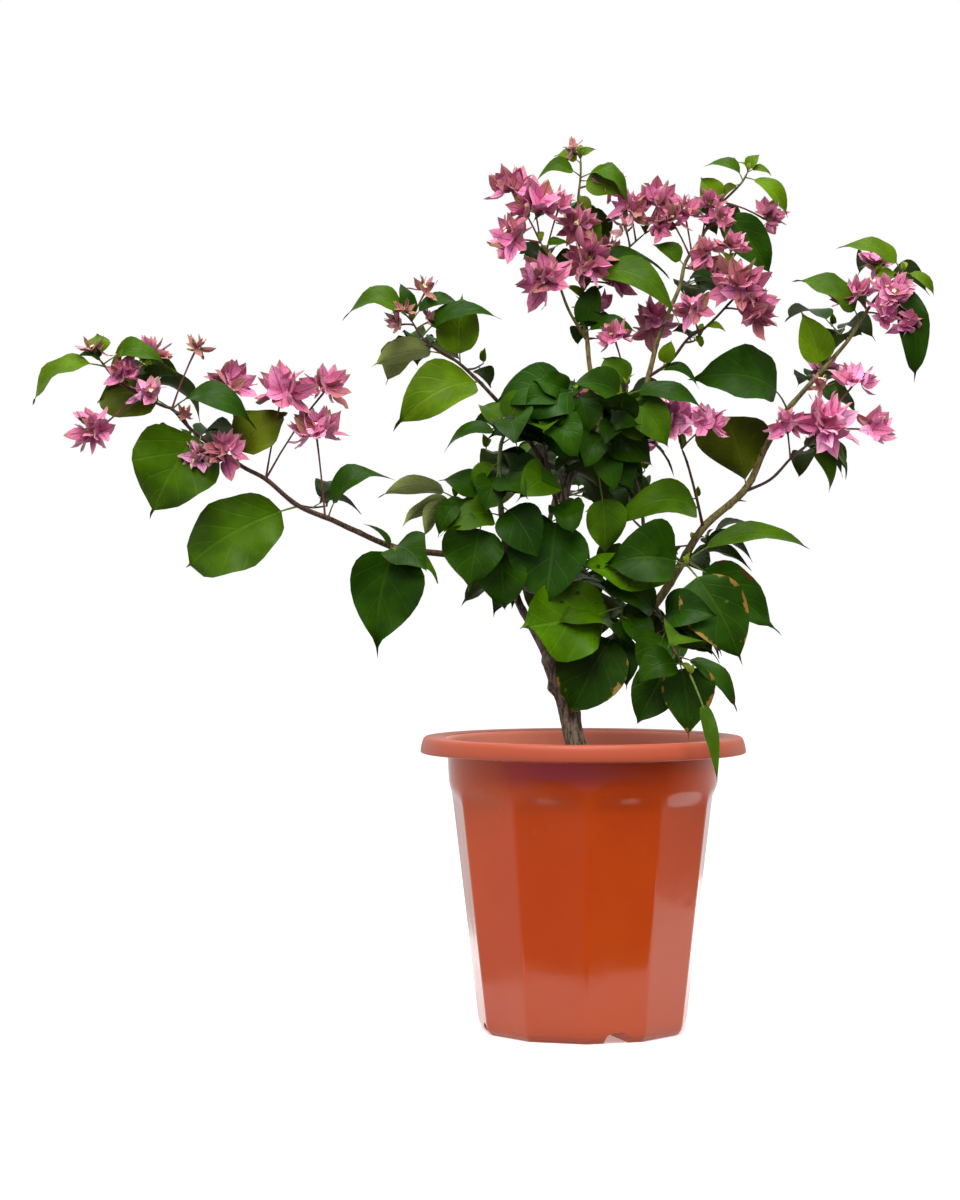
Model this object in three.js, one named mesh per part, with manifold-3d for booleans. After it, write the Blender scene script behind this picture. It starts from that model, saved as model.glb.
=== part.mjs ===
// A bougainvillea bush in a round plastic pot, in millimetres with +Z up.
// The pot stands on the plane Z = 0 with its axis on the Z axis. +X is the viewer's right and
// -Y points to the viewer. Every limb is one tapering tube. Every mass of foliage is one stem with
// side twigs, leaves and flower heads, grown by the same few functions and fused to one solid.

import * as THREE from "three";
import { mergeVertices } from "three/addons/utils/BufferGeometryUtils.js";
import Module from "manifold-3d";

const wasm = await Module();
wasm.setup();

// Gap that neighbouring solids keep, and the wider one that leaves keep to limbs.
const GAP = 0.3;
const LEAF_CLEARANCE = 0.8;

// Details smaller than this are smoothed away from the pot, the soil and the limbs. Foliage is
// smoothed by the first of the steps that leaves it clean.
const FINE_STEP = 0.02;
const STEPS = [0.3, 0.15, 0.4, 0.05];

// A leaf, head or twig that can't stay where it is written is tried again after these turns. It
// can't stay where it touches something, or where fusing it leaves a triangle thinner than this.
const NUDGES = [0, 4, -4, 8, -8, 13];
const THINNEST = 0.002;

// Pot sizes.
const POT_HEIGHT = 234;
const RIM_RADIUS = 127;
const LIP_RADIUS = 130;
const LIP_HEIGHT = 13;
const MOUTH_RADIUS = 108;
const NECK_RADIUS = 108.4;
const SHOULDER_RADIUS = 105.8;
const SHOULDER_HEIGHT = 185;
const LEDGE_HEIGHT = 9;
const HEEL_RADIUS = 85;
const HEEL_HEIGHT = 9;
const FOOT_RADIUS = 80;
const WALL = 2.2;
const FLOOR = 3;
const PANELS = 11;
const STEPS_PER_PANEL = 3;
const DRAINS = 4;
const DRAIN_TURN = 17.5;
const DRAIN_WIDTH = 18;
const DRAIN_HEIGHT = 8;
const DRAIN_INNER_RADIUS = 30;
const DRAIN_HOLE_RADIUS = 4;
const DRAIN_HOLE_OUT = 55;
const SOIL_HEIGHT = 206;

// A leaf: half the width of its stalk, and the half width of the blade at the places along it that
// shape its outline. Small and slim leaves have the plainer outline.
const STALK_HALF = 0.8;
const LEAF_OUTLINE = [[0.33, 0.92], [0.66, 0.8]];
const PLAIN_OUTLINE = [[0.42, 1]];
const PLAIN_REACH = 66;
const PLAIN_WIDTH = 0.5;
const LEAF_BREADTH = 0.85;
const LEAF_RIB = 0.45;
const LEAF_WIDTH = 0.62;
const LEAF_ARCH = 0.12;
const LEAF_THICKNESS = 0.022;
const BLADE_FOLD = 0.16;

// A flower head is a small hub with six bracts that stand out all round.
const HUB_SHARE = 0.1;
const BRACT_WIDTH = 0.62;
const BRACT_FOLD = 0.1;
const BRACT_WIDEST = 0.5;

const colours = {
  pot: new THREE.MeshStandardMaterial({ color: 0xb2462a, roughness: 0.3, metalness: 0 }),
  soil: new THREE.MeshStandardMaterial({ color: 0x3b2a20, roughness: 0.95, metalness: 0 }),
  bark: new THREE.MeshStandardMaterial({ color: 0x6e5f52, roughness: 0.85, metalness: 0 }),
  foliage: new THREE.MeshStandardMaterial({ color: 0x3c6423, roughness: 0.5, metalness: 0 }),
};

// Limbs: the points of each centre line, and the radius at its foot and at its tip.
// "from" names the limb that carries it.
const limbs = [
  {
    name: "trunk",
    points: [[0, 0, 206.3], [-6, 0, 228], [-13, 0, 259], [-22, 0, 285], [-30, 0, 304]],
    radii: [8.6, 7.2],
    flare: 2.6,
    sides: 12,
  },
  {
    name: "leader",
    from: "trunk",
    points: [[-29, 0, 302], [-27, 0, 331], [-22, 2, 367], [-17, 4, 403], [-12, 6, 437], [4, 6, 462], [15, 6, 480]],
    radii: [4.2, 3.4],
  },
  {
    name: "left_stem",
    from: "trunk",
    points: [[-29, -1, 300], [-43, -5, 325], [-53, -9, 345], [-60, -13, 375], [-65, -16, 407]],
    radii: [3.4, 2.6],
  },
  {
    name: "right_bough",
    from: "trunk",
    points: [
      [-27, 0, 296], [6, 6, 303], [34, 10, 317], [59, 16, 340], [77, 20, 367],
      [98, 24, 401], [132, 28, 432], [149, 32, 466], [167, 36, 497],
    ],
    radii: [4.4, 2.3],
  },
  {
    name: "left_arm",
    from: "left_stem",
    points: [[-61, -13, 376], [-86, -20, 378], [-114, -26, 380], [-150, -32, 385], [-181, -38, 398], [-198, -41, 406]],
    radii: [2.9, 2.1],
  },
  {
    name: "upper_left_bough",
    from: "leader",
    points: [[-15, 5, 419], [-30, 14, 451], [-49, 18, 480], [-66, 14, 500], [-82, 6, 517]],
    radii: [2.2, 1.5],
  },
  {
    name: "centre_bough",
    from: "leader",
    points: [[15, 6, 480], [12, 10, 505], [6, 14, 530], [4, 18, 552], [1, 21, 580]],
    radii: [2.5, 1.6],
  },
  {
    name: "right_centre_bough",
    from: "leader",
    points: [[2, 6, 459], [21, 4, 460], [36, 4, 471], [46, 8, 497], [54, 12, 526], [60, 16, 550]],
    radii: [2.7, 2],
  },
  {
    name: "rear_bough",
    from: "leader",
    points: [[-22, 2, 368], [-26, 30, 385], [-26, 62, 402], [-22, 88, 420]],
    radii: [2.8, 2],
  },
  {
    name: "rear_right_bough",
    from: "right_bough",
    points: [[34, 10, 317], [42, 40, 338], [48, 68, 360], [52, 90, 384]],
    radii: [2.8, 2],
  },
];

// Masses of foliage. A leaf is [place on the stem, turn, pitch, reach from stem to tip, face,
// width share, arch share]. A flower head is [place on the stem, turn, pitch, stalk, diameter].
// Turn 0 points right, 90 away from the viewer, 180 left and 270 to the viewer. Pitch is up from
// level. Face tilts a leaf's upper side from the sky (0) towards the viewer (90).
const masses = [
  {
    name: "left_arm_spray",
    from: "left_arm",
    points: [
      [-198, -41, 406], [-226, -46, 418], [-250, -50, 438], [-270, -53, 449], [-305, -56, 474],
      [-322, -58, 492], [-332, -60, 496], [-362, -62, 512], [-379, -62, 531],
    ],
    radii: [2.1, 0.9],
    leaves: [
      [0.02, 5, 27, 62, 35, 0.5, 0.3],
      [0.13, 185, -36, 92, 78, 0.7, 0.05],
      [0.58, 195, -66, 70, 80, 1.08, 0.03],
      [0.69, 345, -14, 70, 45, 0.45, 0.3],
      [0.4, 20, 36, 56, 60, 0.8, 0.1],
      [0.97, 180, -25, 64, 40, 0.42, 0.22],
      [1, 120, 65, 24, 60, 0.9, 0.1],
      [0.98, 180, 15, 24, 40, 0.35, 0.1],
      [0.92, 300, 60, 27, 70, 0.32, 0.1],
      [0.98, 8, -6, 53, 45, 0.5, 0.3],
      [0.88, 40, 30, 32, 60, 0.7, 0.1],
      [0.7, 160, 13, 66, 60, 0.62, 0.08],
    ],
    heads: [
      [0.87, 270, 45, 9, 36],
      [0.8, 190, -25, 46, 36],
      [0.77, 270, 20, 9, 32],
      [1, 180, 60, 5, 30],
      [0.69, 0, 68, 49, 28],
      [0.39, 160, 84, 66, 44],
      [0.42, 250, 15, 11, 40],
      [0.6, 200, 60, 9, 22],
      [0.5, 210, -45, 14, 32],
      [0.28, 0, 79, 74, 48],
      [0.28, 15, 57, 85, 36],
      [0.03, 180, 84, 63, 48],
    ],
    rear: { twigs: 3, leaves: 2, reach: 52, heads: 1 },
    seed: 11,
  },
  {
    name: "left_arm_leaves",
    from: "left_arm",
    points: [[-152, -33, 385], [-151, -43, 380], [-149, -51, 373]],
    radii: [1.5, 1],
    leaves: [
      [0.95, 205, -76, 76, 85, 0.8, 0.04],
      [0.5, 335, -38, 44, 70, 0.92, 0.08],
      [0.7, 10, -30, 42, 40, 0.4, 0.12],
      [0.4, 180, 46, 32, 40, 0.22, 0.1],
    ],
    heads: [],
    seed: 12,
  },
  {
    name: "left_crown",
    from: "left_stem",
    points: [[-65, -16, 407], [-67, -18, 434], [-66, -22, 465], [-60, -24, 480]],
    radii: [2.4, 1.3],
    leaves: [
      [0.15, 330, -48, 54, 80, 0.85, 0.08],
      [0.12, 275, -66, 74, 82, 0.75, 0.05],
      [0.75, 190, -35, 32, 50, 0.6, 0.1],
      [0.8, 10, 5, 46, 60, 0.5, 0.12],
      [0.4, 345, -13, 56, 60, 0.45, 0.12],
      [0.95, 350, -20, 32, 60, 0.7, 0.1],
      [1, 25, 62, 38, 60, 0.8, 0.1],
      [0.9, 182, -15, 50, 35, 0.42, 0.25],
      [0.9, 120, 30, 48, 20, 0.6, 0.1],
    ],
    heads: [],
    twigs: [
      {
        at: 0.2,
        turn: 188,
        pitch: 3,
        length: 36,
        leaves: [
          [1, 180, 5, 62, -50, 0.36, 0.12],
          [0.9, 195, -33, 44, -30, 0.5, 0.1],
          [0.95, 168, 22, 46, 40, 0.34, 0.15],
          [0.95, 215, -58, 36, 60, 0.6, 0.1],
          [0.6, 215, -45, 34, 75, 0.95, 0.05],
          [0.4, 172, 24, 40, 45, 0.8, 0.12],
          [0.3, 235, -72, 68, 85, 0.95, 0.03],
        ],
        heads: [],
      },
    ],
    rear: { twigs: 2, leaves: 4, reach: 52, heads: 0 },
    seed: 13,
  },
  {
    name: "upper_left_spray",
    from: "upper_left_bough",
    points: [[-82, 6, 517], [-100, 0, 533], [-114, 0, 541], [-128, -2, 552], [-137, -2, 566]],
    radii: [1.5, 0.8],
    leaves: [
      [0.05, 192, -36, 72, 60, 0.56, 0.18],
      [0.3, 150, 80, 46, 80, 0.95, 0.04],
      [0.52, 180, -15, 58, -55, 0.5, 0.2],
      [1, 180, 2, 56, 45, 0.5, 0.34],
      [1, 180, 76, 33, 50, 0.5, 0.1],
      [1, 15, 18, 46, 45, 0.42, 0.3],
      [0.8, 355, 12, 67, 45, 0.36, 0.22],
    ],
    heads: [
      [0.95, 190, 0, 11, 30],
      [0.9, 0, 30, 11, 27],
      [1, 0, 65, 24, 30],
      [1, 230, 30, 10, 24],
    ],
    rear: { twigs: 2, leaves: 3, reach: 46, heads: 1 },
    seed: 14,
  },
  {
    name: "core_left",
    from: "leader",
    points: [[-17, 4, 404], [-25, -10, 434], [-31, -18, 462], [-31, -20, 490], [-4, -16, 508]],
    radii: [1.9, 1.2],
    leaves: [
      [1, 175, -8, 66, 40, 0.5, 0.28],
      [1, 205, -22, 54, 62, 0.66, 0.14],
      [1, 310, -70, 36, 70, 0.9, 0.08],
      [0.7, 325, -52, 42, 70, 0.62, 0.1],
      [0.5, 355, -15, 36, 50, 0.42, 0.1],
      [0.1, 250, -72, 74, 85, 0.92, 0.03],
      [0.15, 320, -35, 26, 60, 0.8, 0.1],
      [0.35, 200, -20, 40, 60, 0.7, 0.1],
      [0.6, 195, -5, 48, 50, 0.6, 0.12],
      [0.85, 20, 30, 30, 50, 0.7, 0.1],
    ],
    heads: [],
    rear: { twigs: 2, leaves: 3, reach: 50, heads: 0 },
    seed: 15,
  },
  {
    name: "core_right",
    from: "leader",
    points: [[7, 6, 467], [23, -12, 477], [30, -18, 494], [35, -16, 512]],
    radii: [1.8, 1.1],
    leaves: [
      [1, 165, 55, 32, 80, 0.9, 0.06],
      [0.9, 190, 10, 24, 60, 0.6, 0.1],
      [0.7, 330, -48, 33, 85, 0.9, 0.05],
      [0.9, 355, -19, 66, 45, 0.34, 0.14],
      [0.2, 345, -24, 48, 70, 0.9, 0.08],
      [0.25, 15, -22, 66, 30, 0.3, 0.12],
      [0.1, 320, -52, 54, 75, 0.8, 0.06],
      [0.2, 285, -60, 50, 75, 0.6, 0.06],
      [0.5, 250, -30, 34, 60, 0.7, 0.1],
    ],
    heads: [
      [1, 170, 75, 38, 34],
    ],
    rear: { twigs: 2, leaves: 3, reach: 52, heads: 0 },
    seed: 16,
  },
  {
    name: "centre_left_spray",
    from: "centre_bough",
    points: [[3, 18, 553], [-12, 6, 577], [-25, 0, 613], [-34, -6, 628]],
    radii: [1.3, 0.8],
    leaves: [
      [0.06, 10, 68, 42, 70, 0.6, 0.06],
      [0.06, 350, 3, 44, 50, 0.45, 0.2],
      [0.95, 15, 8, 22, 50, 0.5, 0.1],
    ],
    heads: [
      [1, 190, 80, 24, 52],
      [1, 170, 61, 46, 42],
      [1, 205, 3, 22, 42],
      [0.9, 30, 72, 35, 34],
      [0.55, 215, 10, 12, 50],
    ],
    rear: { twigs: 2, leaves: 3, reach: 38, heads: 1 },
    seed: 17,
  },
  {
    name: "centre_spray",
    from: "centre_bough",
    points: [
      [1, 21, 580], [0, 24, 598], [-2, 25, 616], [-3, 27, 646], [-3, 28, 666], [-1, 28, 686], [-1, 28, 700],
    ],
    radii: [1.6, 0.8],
    leaves: [
      [0.03, 180, 45, 20, 50, 0.45, 0.1],
      [0.03, 0, 40, 22, 50, 0.32, 0.1],
      [0.16, 345, -23, 92, 50, 0.36, 0.12],
      [0.16, 15, 2, 74, 40, 0.26, 0.25],
      [0.88, 180, -7, 38, 50, 0.5, 0.3],
      [0.97, 165, 15, 24, 50, 0.6, 0.1],
      [0.87, 355, -23, 45, 45, 0.48, 0.34],
      [1, 0, 35, 15, 50, 0.7, 0.1],
      [0.66, 345, -18, 38, 80, 0.9, 0.06],
      [0.76, 320, -58, 22, 60, 0.5, 0.1],
      [0.62, 0, -54, 32, 50, 0.6, 0.1],
    ],
    heads: [
      [0.5, 260, 10, 9, 38],
      [0.3, 290, -10, 14, 50],
      [0.16, 25, 0, 26, 42],
      [0.8, 15, 8, 22, 34],
      [1, 180, 50, 6, 24],
    ],
    twigs: [
      {
        at: 0.17,
        turn: 12,
        pitch: 37,
        length: 66,
        leaves: [],
        heads: [
          [0.85, 180, 80, 24, 38],
          [1, 15, 65, 24, 42],
          [1, 320, 15, 13, 34],
          [0.75, 250, 50, 14, 30],
        ],
      },
    ],
    rear: { twigs: 2, leaves: 3, reach: 46, heads: 1 },
    seed: 18,
  },
  {
    name: "right_centre_spray",
    from: "right_centre_bough",
    points: [
      [60, 16, 550], [69, 20, 573], [79, 24, 596], [84, 28, 616], [97, 32, 636], [110, 34, 660],
      [129, 36, 680], [135, 36, 690],
    ],
    radii: [1.9, 0.8],
    leaves: [
      [0.95, 180, 27, 34, 45, 0.42, 0.25],
      [1, 0, 55, 18, 50, 0.7, 0.1],
      [1, 5, -10, 20, 50, 0.5, 0.15],
      [0.97, 355, -44, 48, 50, 0.4, 0.16],
      [0.78, 180, 50, 28, 80, 0.95, 0.05],
      [0.93, 190, -42, 26, 40, 0.42, 0.1],
      [0.72, 348, -52, 66, 70, 0.62, 0.08],
      [0.42, 172, 33, 32, 60, 0.6, 0.12],
    ],
    heads: [
      [0.5, 170, 80, 28, 36],
      [0.6, 0, 80, 23, 32],
      [0.62, 330, 35, 13, 32],
      [0.8, 12, -20, 38, 34],
      [0.06, 100, 10, 16, 46],
      [0.48, 200, 60, 30, 32],
    ],
    rear: { twigs: 2, leaves: 3, reach: 46, heads: 1 },
    seed: 19,
  },
  {
    name: "right_centre_blooms",
    from: "right_centre_bough",
    points: [
      [53, 11, 522], [70, 4, 534], [84, -4, 552], [97, -8, 560], [113, -10, 576], [123, -8, 590], [116, -6, 610],
    ],
    radii: [1.3, 0.8],
    leaves: [
      [0.06, 345, -20, 38, 40, 0.4, 0.12],
      [0.12, 330, 75, 23, 70, 0.7, 0.1],
      [0.5, 335, -15, 18, 50, 0.5, 0.1],
      [0.42, 0, -60, 13, 50, 0.6, 0.1],
    ],
    heads: [
      [1, 180, 25, 16, 36],
      [1, 60, 70, 11, 34],
      [0.83, 270, 0, 9, 50],
      [0.68, 345, -12, 20, 46],
      [0.45, 205, 70, 15, 38],
    ],
    rear: { twigs: 1, leaves: 3, reach: 36, heads: 1 },
    seed: 20,
  },
  {
    name: "right_inner_bloom",
    from: "right_bough",
    points: [[98, 24, 400], [92, 10, 423], [84, 2, 451], [79, 0, 464]],
    radii: [1.3, 0.9],
    leaves: [
      [0.32, 195, -19, 70, 50, 0.3, 0.2],
    ],
    heads: [
      [1, 205, 72, 18, 54],
      [1, 345, 42, 24, 40],
    ],
    seed: 21,
  },
  {
    name: "right_outer_spray",
    from: "right_bough",
    points: [[131, 28, 430], [152, 20, 440], [168, 14, 457], [180, 8, 467], [191, 0, 477]],
    radii: [1.3, 0.9],
    leaves: [
      [0.06, 200, 70, 60, -50, 1.1, 0.06],
      [0.8, 20, -57, 44, 40, 0.5, 0.1],
      [0.9, 30, -42, 46, 40, 0.36, 0.12],
    ],
    heads: [
      [0.58, 190, 84, 22, 38],
      [1, 280, 20, 7, 54],
      [1, 20, 8, 36, 36],
      [1, 20, 54, 46, 38],
      [0.95, 60, 80, 38, 28],
    ],
    rear: { twigs: 1, leaves: 3, reach: 40, heads: 1 },
    seed: 22,
  },
  {
    name: "right_tip_spray",
    from: "right_bough",
    points: [
      [167, 36, 497], [192, 40, 525], [216, 44, 552], [227, 46, 569], [240, 46, 588], [252, 45, 600], [262, 44, 609],
    ],
    radii: [2.2, 0.9],
    leaves: [
      [0.03, 195, 11, 76, 65, 0.64, 0.24],
      [0.26, 200, 69, 48, 75, 0.66, 0.06],
      [0.28, 20, 50, 44, -40, 0.5, 0.1],
      [0.64, 185, 26, 60, 45, 0.5, 0.2],
      [1, 180, 26, 50, 50, 0.36, 0.2],
      [0.97, 200, -15, 24, 50, 0.6, 0.1],
      [1, 0, -38, 33, 50, 0.42, 0.24],
      [0.98, 330, -78, 80, 75, 0.4, 0.05],
    ],
    heads: [
      [0.72, 205, 40, 13, 40],
      [0.85, 290, -20, 13, 42],
      [0.9, 335, -68, 34, 34],
      [0.7, 325, -10, 15, 34],
    ],
    rear: { twigs: 3, leaves: 2, reach: 52, heads: 1 },
    seed: 23,
  },
  {
    name: "right_shoulder_leaves",
    from: "right_bough",
    points: [[86, 21, 379], [86, 10, 377], [84, -4, 374], [82, -14, 370]],
    radii: [1.6, 1.1],
    leaves: [
      [0.85, 195, -13, 67, 60, 0.4, 0.08],
      [0.55, 185, 8, 62, 75, 0.85, 0.05],
      [0.35, 0, 5, 98, 25, 0.22, 0.1],
      [0.35, 20, -8, 54, -30, 0.32, 0.1],
      [0.95, 325, -61, 88, 80, 0.62, 0.05],
      [0.7, 5, -33, 88, 70, 0.5, 0.08],
    ],
    heads: [],
    rear: { twigs: 2, leaves: 3, reach: 50, heads: 0 },
    seed: 24,
  },
  {
    name: "right_low_leaves",
    from: "right_bough",
    points: [[59, 15, 339], [64, -14, 322], [70, -44, 304], [80, -84, 286]],
    radii: [1.6, 0.9],
    leaves: [
      [0.12, 195, 30, 72, 62, 0.5, 0.08],
      [0.2, 340, 4, 44, 75, 0.85, 0.08],
      [0.32, 345, -25, 38, 50, 0.5, 0.1],
      [0.36, 285, -62, 46, 80, 0.85, 0.05],
      [0.55, 10, -15, 42, 40, 0.24, 0.1],
      [0.7, 345, -44, 64, 40, 0.34, 0.12],
      [0.6, 195, -57, 54, 70, 0.52, 0.06],
      [0.72, 310, -75, 60, 80, 0.6, 0.05],
      [1, 300, -65, 90, 60, 0.22, 0.06],
    ],
    heads: [],
    rear: { twigs: 1, leaves: 3, reach: 44, heads: 0 },
    seed: 25,
  },
  {
    name: "low_front_leaves",
    from: "right_bough",
    points: [[24, 9, 312], [30, -8, 328], [31, -18, 341]],
    radii: [1.6, 1],
    leaves: [
      [0.98, 202, -14, 83, 75, 0.84, 0.06],
      [0.35, 205, -63, 72, 80, 0.76, 0.04],
      [0.3, 300, -72, 52, 70, 0.6, 0.06],
      [0.6, 290, -50, 26, 70, 0.9, 0.06],
      [0.98, 150, 62, 46, 60, 0.5, 0.08],
    ],
    heads: [],
    rear: { twigs: 1, leaves: 4, reach: 50, heads: 0 },
    seed: 26,
  },
  {
    name: "rear_spray",
    from: "rear_bough",
    points: [[-22, 88, 420], [-16, 110, 442], [-10, 128, 466], [-2, 138, 492]],
    radii: [1.9, 0.9],
    leaves: [],
    heads: [
      [1, 90, 70, 16, 40],
      [0.8, 130, 40, 26, 40],
    ],
    rear: { twigs: 5, leaves: 3, reach: 66, heads: 1, from: 0, to: 180 },
    seed: 27,
  },
  {
    name: "rear_right_spray",
    from: "rear_right_bough",
    points: [[52, 90, 384], [54, 108, 404], [52, 124, 430], [46, 134, 452]],
    radii: [1.9, 0.9],
    leaves: [],
    heads: [
      [1, 60, 60, 18, 40],
    ],
    rear: { twigs: 5, leaves: 3, reach: 64, heads: 1, from: -10, to: 170 },
    seed: 28,
  },
  {
    name: "rear_low_leaves",
    from: "leader",
    points: [[-26, 1, 340], [-34, 22, 346], [-40, 46, 350], [-44, 66, 356]],
    radii: [1.8, 0.9],
    leaves: [],
    heads: [],
    rear: { twigs: 3, leaves: 3, reach: 62, heads: 0, from: 30, to: 170 },
    seed: 29,
  },
];

// Numbers, directions and curves.

// Repeatable random numbers from 0 to 1, one row of them for each seed.
function randomNumbers(seed) {
  let state = (seed * 0x9e3779b9) >>> 0;
  return () => {
    state = (state + 0x6d2b79f5) >>> 0;
    let mixed = state;
    mixed = Math.imul(mixed ^ (mixed >>> 15), mixed | 1);
    mixed ^= mixed + Math.imul(mixed ^ (mixed >>> 7), mixed | 61);
    return ((mixed ^ (mixed >>> 14)) >>> 0) / 4294967296;
  };
}

const radians = (degrees) => (degrees * Math.PI) / 180;

function heading(turn, pitch) {
  const level = Math.cos(radians(pitch));
  return new THREE.Vector3(level * Math.cos(radians(turn)), level * Math.sin(radians(turn)), Math.sin(radians(pitch)));
}

// A smooth centre line through the given points, as evenly spaced places on it.
function centreLine(points, spacing) {
  const corners = points.map((p) => new THREE.Vector3(...p));
  const curve = new THREE.CatmullRomCurve3(corners, false, "catmullrom", 0.5);
  const steps = Math.max(2, Math.round(curve.getLength() / spacing));
  return curve.getSpacedPoints(steps);
}

function placeOn(line, share) {
  const place = Math.min(Math.max(share, 0), 1) * (line.length - 1);
  const index = Math.min(Math.floor(place), line.length - 2);
  return line[index].clone().lerp(line[index + 1], place - index);
}

// Solids.

function solidFrom(vertices, faces) {
  const geometry = new THREE.BufferGeometry();
  geometry.setAttribute("position", new THREE.Float32BufferAttribute(vertices.flatMap((v) => [v.x, v.y, v.z]), 3));
  geometry.setIndex(faces.flat());
  return solidOf(geometry);
}

function solidOf(geometry) {
  const bare = geometry.clone();
  bare.deleteAttribute("normal");
  bare.deleteAttribute("uv");
  const merged = mergeVertices(bare, 1e-3);
  return new wasm.Manifold(new wasm.Mesh({
    numProp: 3,
    vertProperties: new Float32Array(merged.attributes.position.array),
    triVerts: new Uint32Array(merged.index.array),
  }));
}

function geometryOf(solid) {
  const mesh = solid.getMesh();
  const geometry = new THREE.BufferGeometry();
  geometry.setAttribute("position", new THREE.Float32BufferAttribute(mesh.vertProperties, 3));
  geometry.setIndex(Array.from(mesh.triVerts));
  geometry.computeVertexNormals();
  return geometry;
}

// The largest connected piece: it drops loose scraps and fills hollows that fusing sealed.
function mainPiece(solid) {
  const pieces = solid.decompose();
  return pieces.reduce((best, piece) => (piece.volume() > best.volume() ? piece : best));
}

// The height of the thinnest triangle of a surface.
function thinnestHeight(geometry) {
  const corners = geometry.getAttribute("position");
  const order = geometry.getIndex().array;
  const triangle = new THREE.Triangle();
  let thinnest = Infinity;
  for (let start = 0; start < order.length; start += 3) {
    triangle.setFromAttributeAndIndices(corners, order[start], order[start + 1], order[start + 2]);
    const { a, b, c } = triangle;
    const longest = Math.max(a.distanceTo(b), b.distanceTo(c), c.distanceTo(a));
    thinnest = Math.min(thinnest, (2 * triangle.getArea()) / longest);
  }
  return thinnest;
}

// True where a surface touches itself along an edge, so that more than two triangles share it.
function touchesItself(geometry) {
  const corners = geometry.getAttribute("position");
  const order = geometry.getIndex().array;
  const place = (corner) => ["X", "Y", "Z"].map((axis) => corners[`get${axis}`](order[corner]).toFixed(3)).join(" ");
  const uses = new Map();
  for (let corner = 0; corner < order.length; corner += 1) {
    const next = corner % 3 === 2 ? corner - 2 : corner + 1;
    const edge = [place(corner), place(next)].sort().join(" to ");
    uses.set(edge, (uses.get(edge) ?? 0) + 1);
  }
  return [...uses.values()].some((count) => count !== 2);
}

function isClean(solid) {
  const geometry = geometryOf(solid);
  return thinnestHeight(geometry) > THINNEST && !touchesItself(geometry);
}

// A solid without details that are too small to matter, and without any sliver that this cuts off.
function smoothed(solid, step) {
  const smooth = mainPiece(solid.asOriginal().simplify(step));
  return mainPiece(solidOf(geometryOf(smooth)));
}

// A tapering tube along a line, with "radiusAt" giving its radius at each share of the length.
function tube(line, radiusAt, sides, flatFoot = false) {
  const vertices = [];
  const faces = [];
  const first = line[1].clone().sub(line[0]).normalize();
  let across = Math.abs(first.y) < 0.9 ? new THREE.Vector3(0, 1, 0) : new THREE.Vector3(1, 0, 0);
  line.forEach((centre, row) => {
    const ahead = line[Math.min(row + 1, line.length - 1)];
    const behind = line[Math.max(row - 1, 0)];
    const along = ahead.clone().sub(behind).normalize();
    if (flatFoot && row === 0) {
      along.set(0, 0, 1);
    }
    across = across.clone().addScaledVector(along, -across.dot(along)).normalize();
    const other = along.clone().cross(across);
    const radius = radiusAt(row / (line.length - 1));
    for (let side = 0; side < sides; side += 1) {
      const angle = (2 * Math.PI * side) / sides;
      const corner = centre.clone();
      corner.addScaledVector(across, radius * Math.cos(angle));
      corner.addScaledVector(other, radius * Math.sin(angle));
      vertices.push(corner);
    }
  });
  for (let row = 0; row < line.length - 1; row += 1) {
    for (let side = 0; side < sides; side += 1) {
      const a = row * sides + side;
      const b = row * sides + ((side + 1) % sides);
      faces.push([a, b, b + sides], [a, b + sides, a + sides]);
    }
  }
  const last = (line.length - 1) * sides;
  for (let side = 1; side < sides - 1; side += 1) {
    faces.push([0, side + 1, side], [last, last + side, last + side + 1]);
  }
  return solidFrom(vertices, faces);
}

function taper(radii, grow = 0) {
  return (share) => radii[0] + (radii[1] - radii[0]) * share + grow;
}

// The same line made longer at both ends, for a cutter that leaves a gap past the ends too.
function lengthened(line, extra) {
  const start = line[0].clone().sub(line[1]).setLength(extra).add(line[0]);
  const beforeLast = line[line.length - 2];
  const end = line[line.length - 1].clone().sub(beforeLast).setLength(extra).add(line[line.length - 1]);
  return [start, ...line.slice(1, -1), end];
}

function stalk(start, end, radius) {
  return tube([start, end], () => radius, 3);
}

// The frame of a blade: along it, across it, and out of its upper face.
function bladeFrame(along, face) {
  const wanted = new THREE.Vector3(0, -Math.sin(radians(face)), Math.cos(radians(face)));
  const out = wanted.addScaledVector(along, -wanted.dot(along));
  if (out.length() < 0.05) {
    out.set(0, -along.z, along.y);
  }
  out.normalize();
  return { along, across: out.clone().cross(along), out };
}

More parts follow.
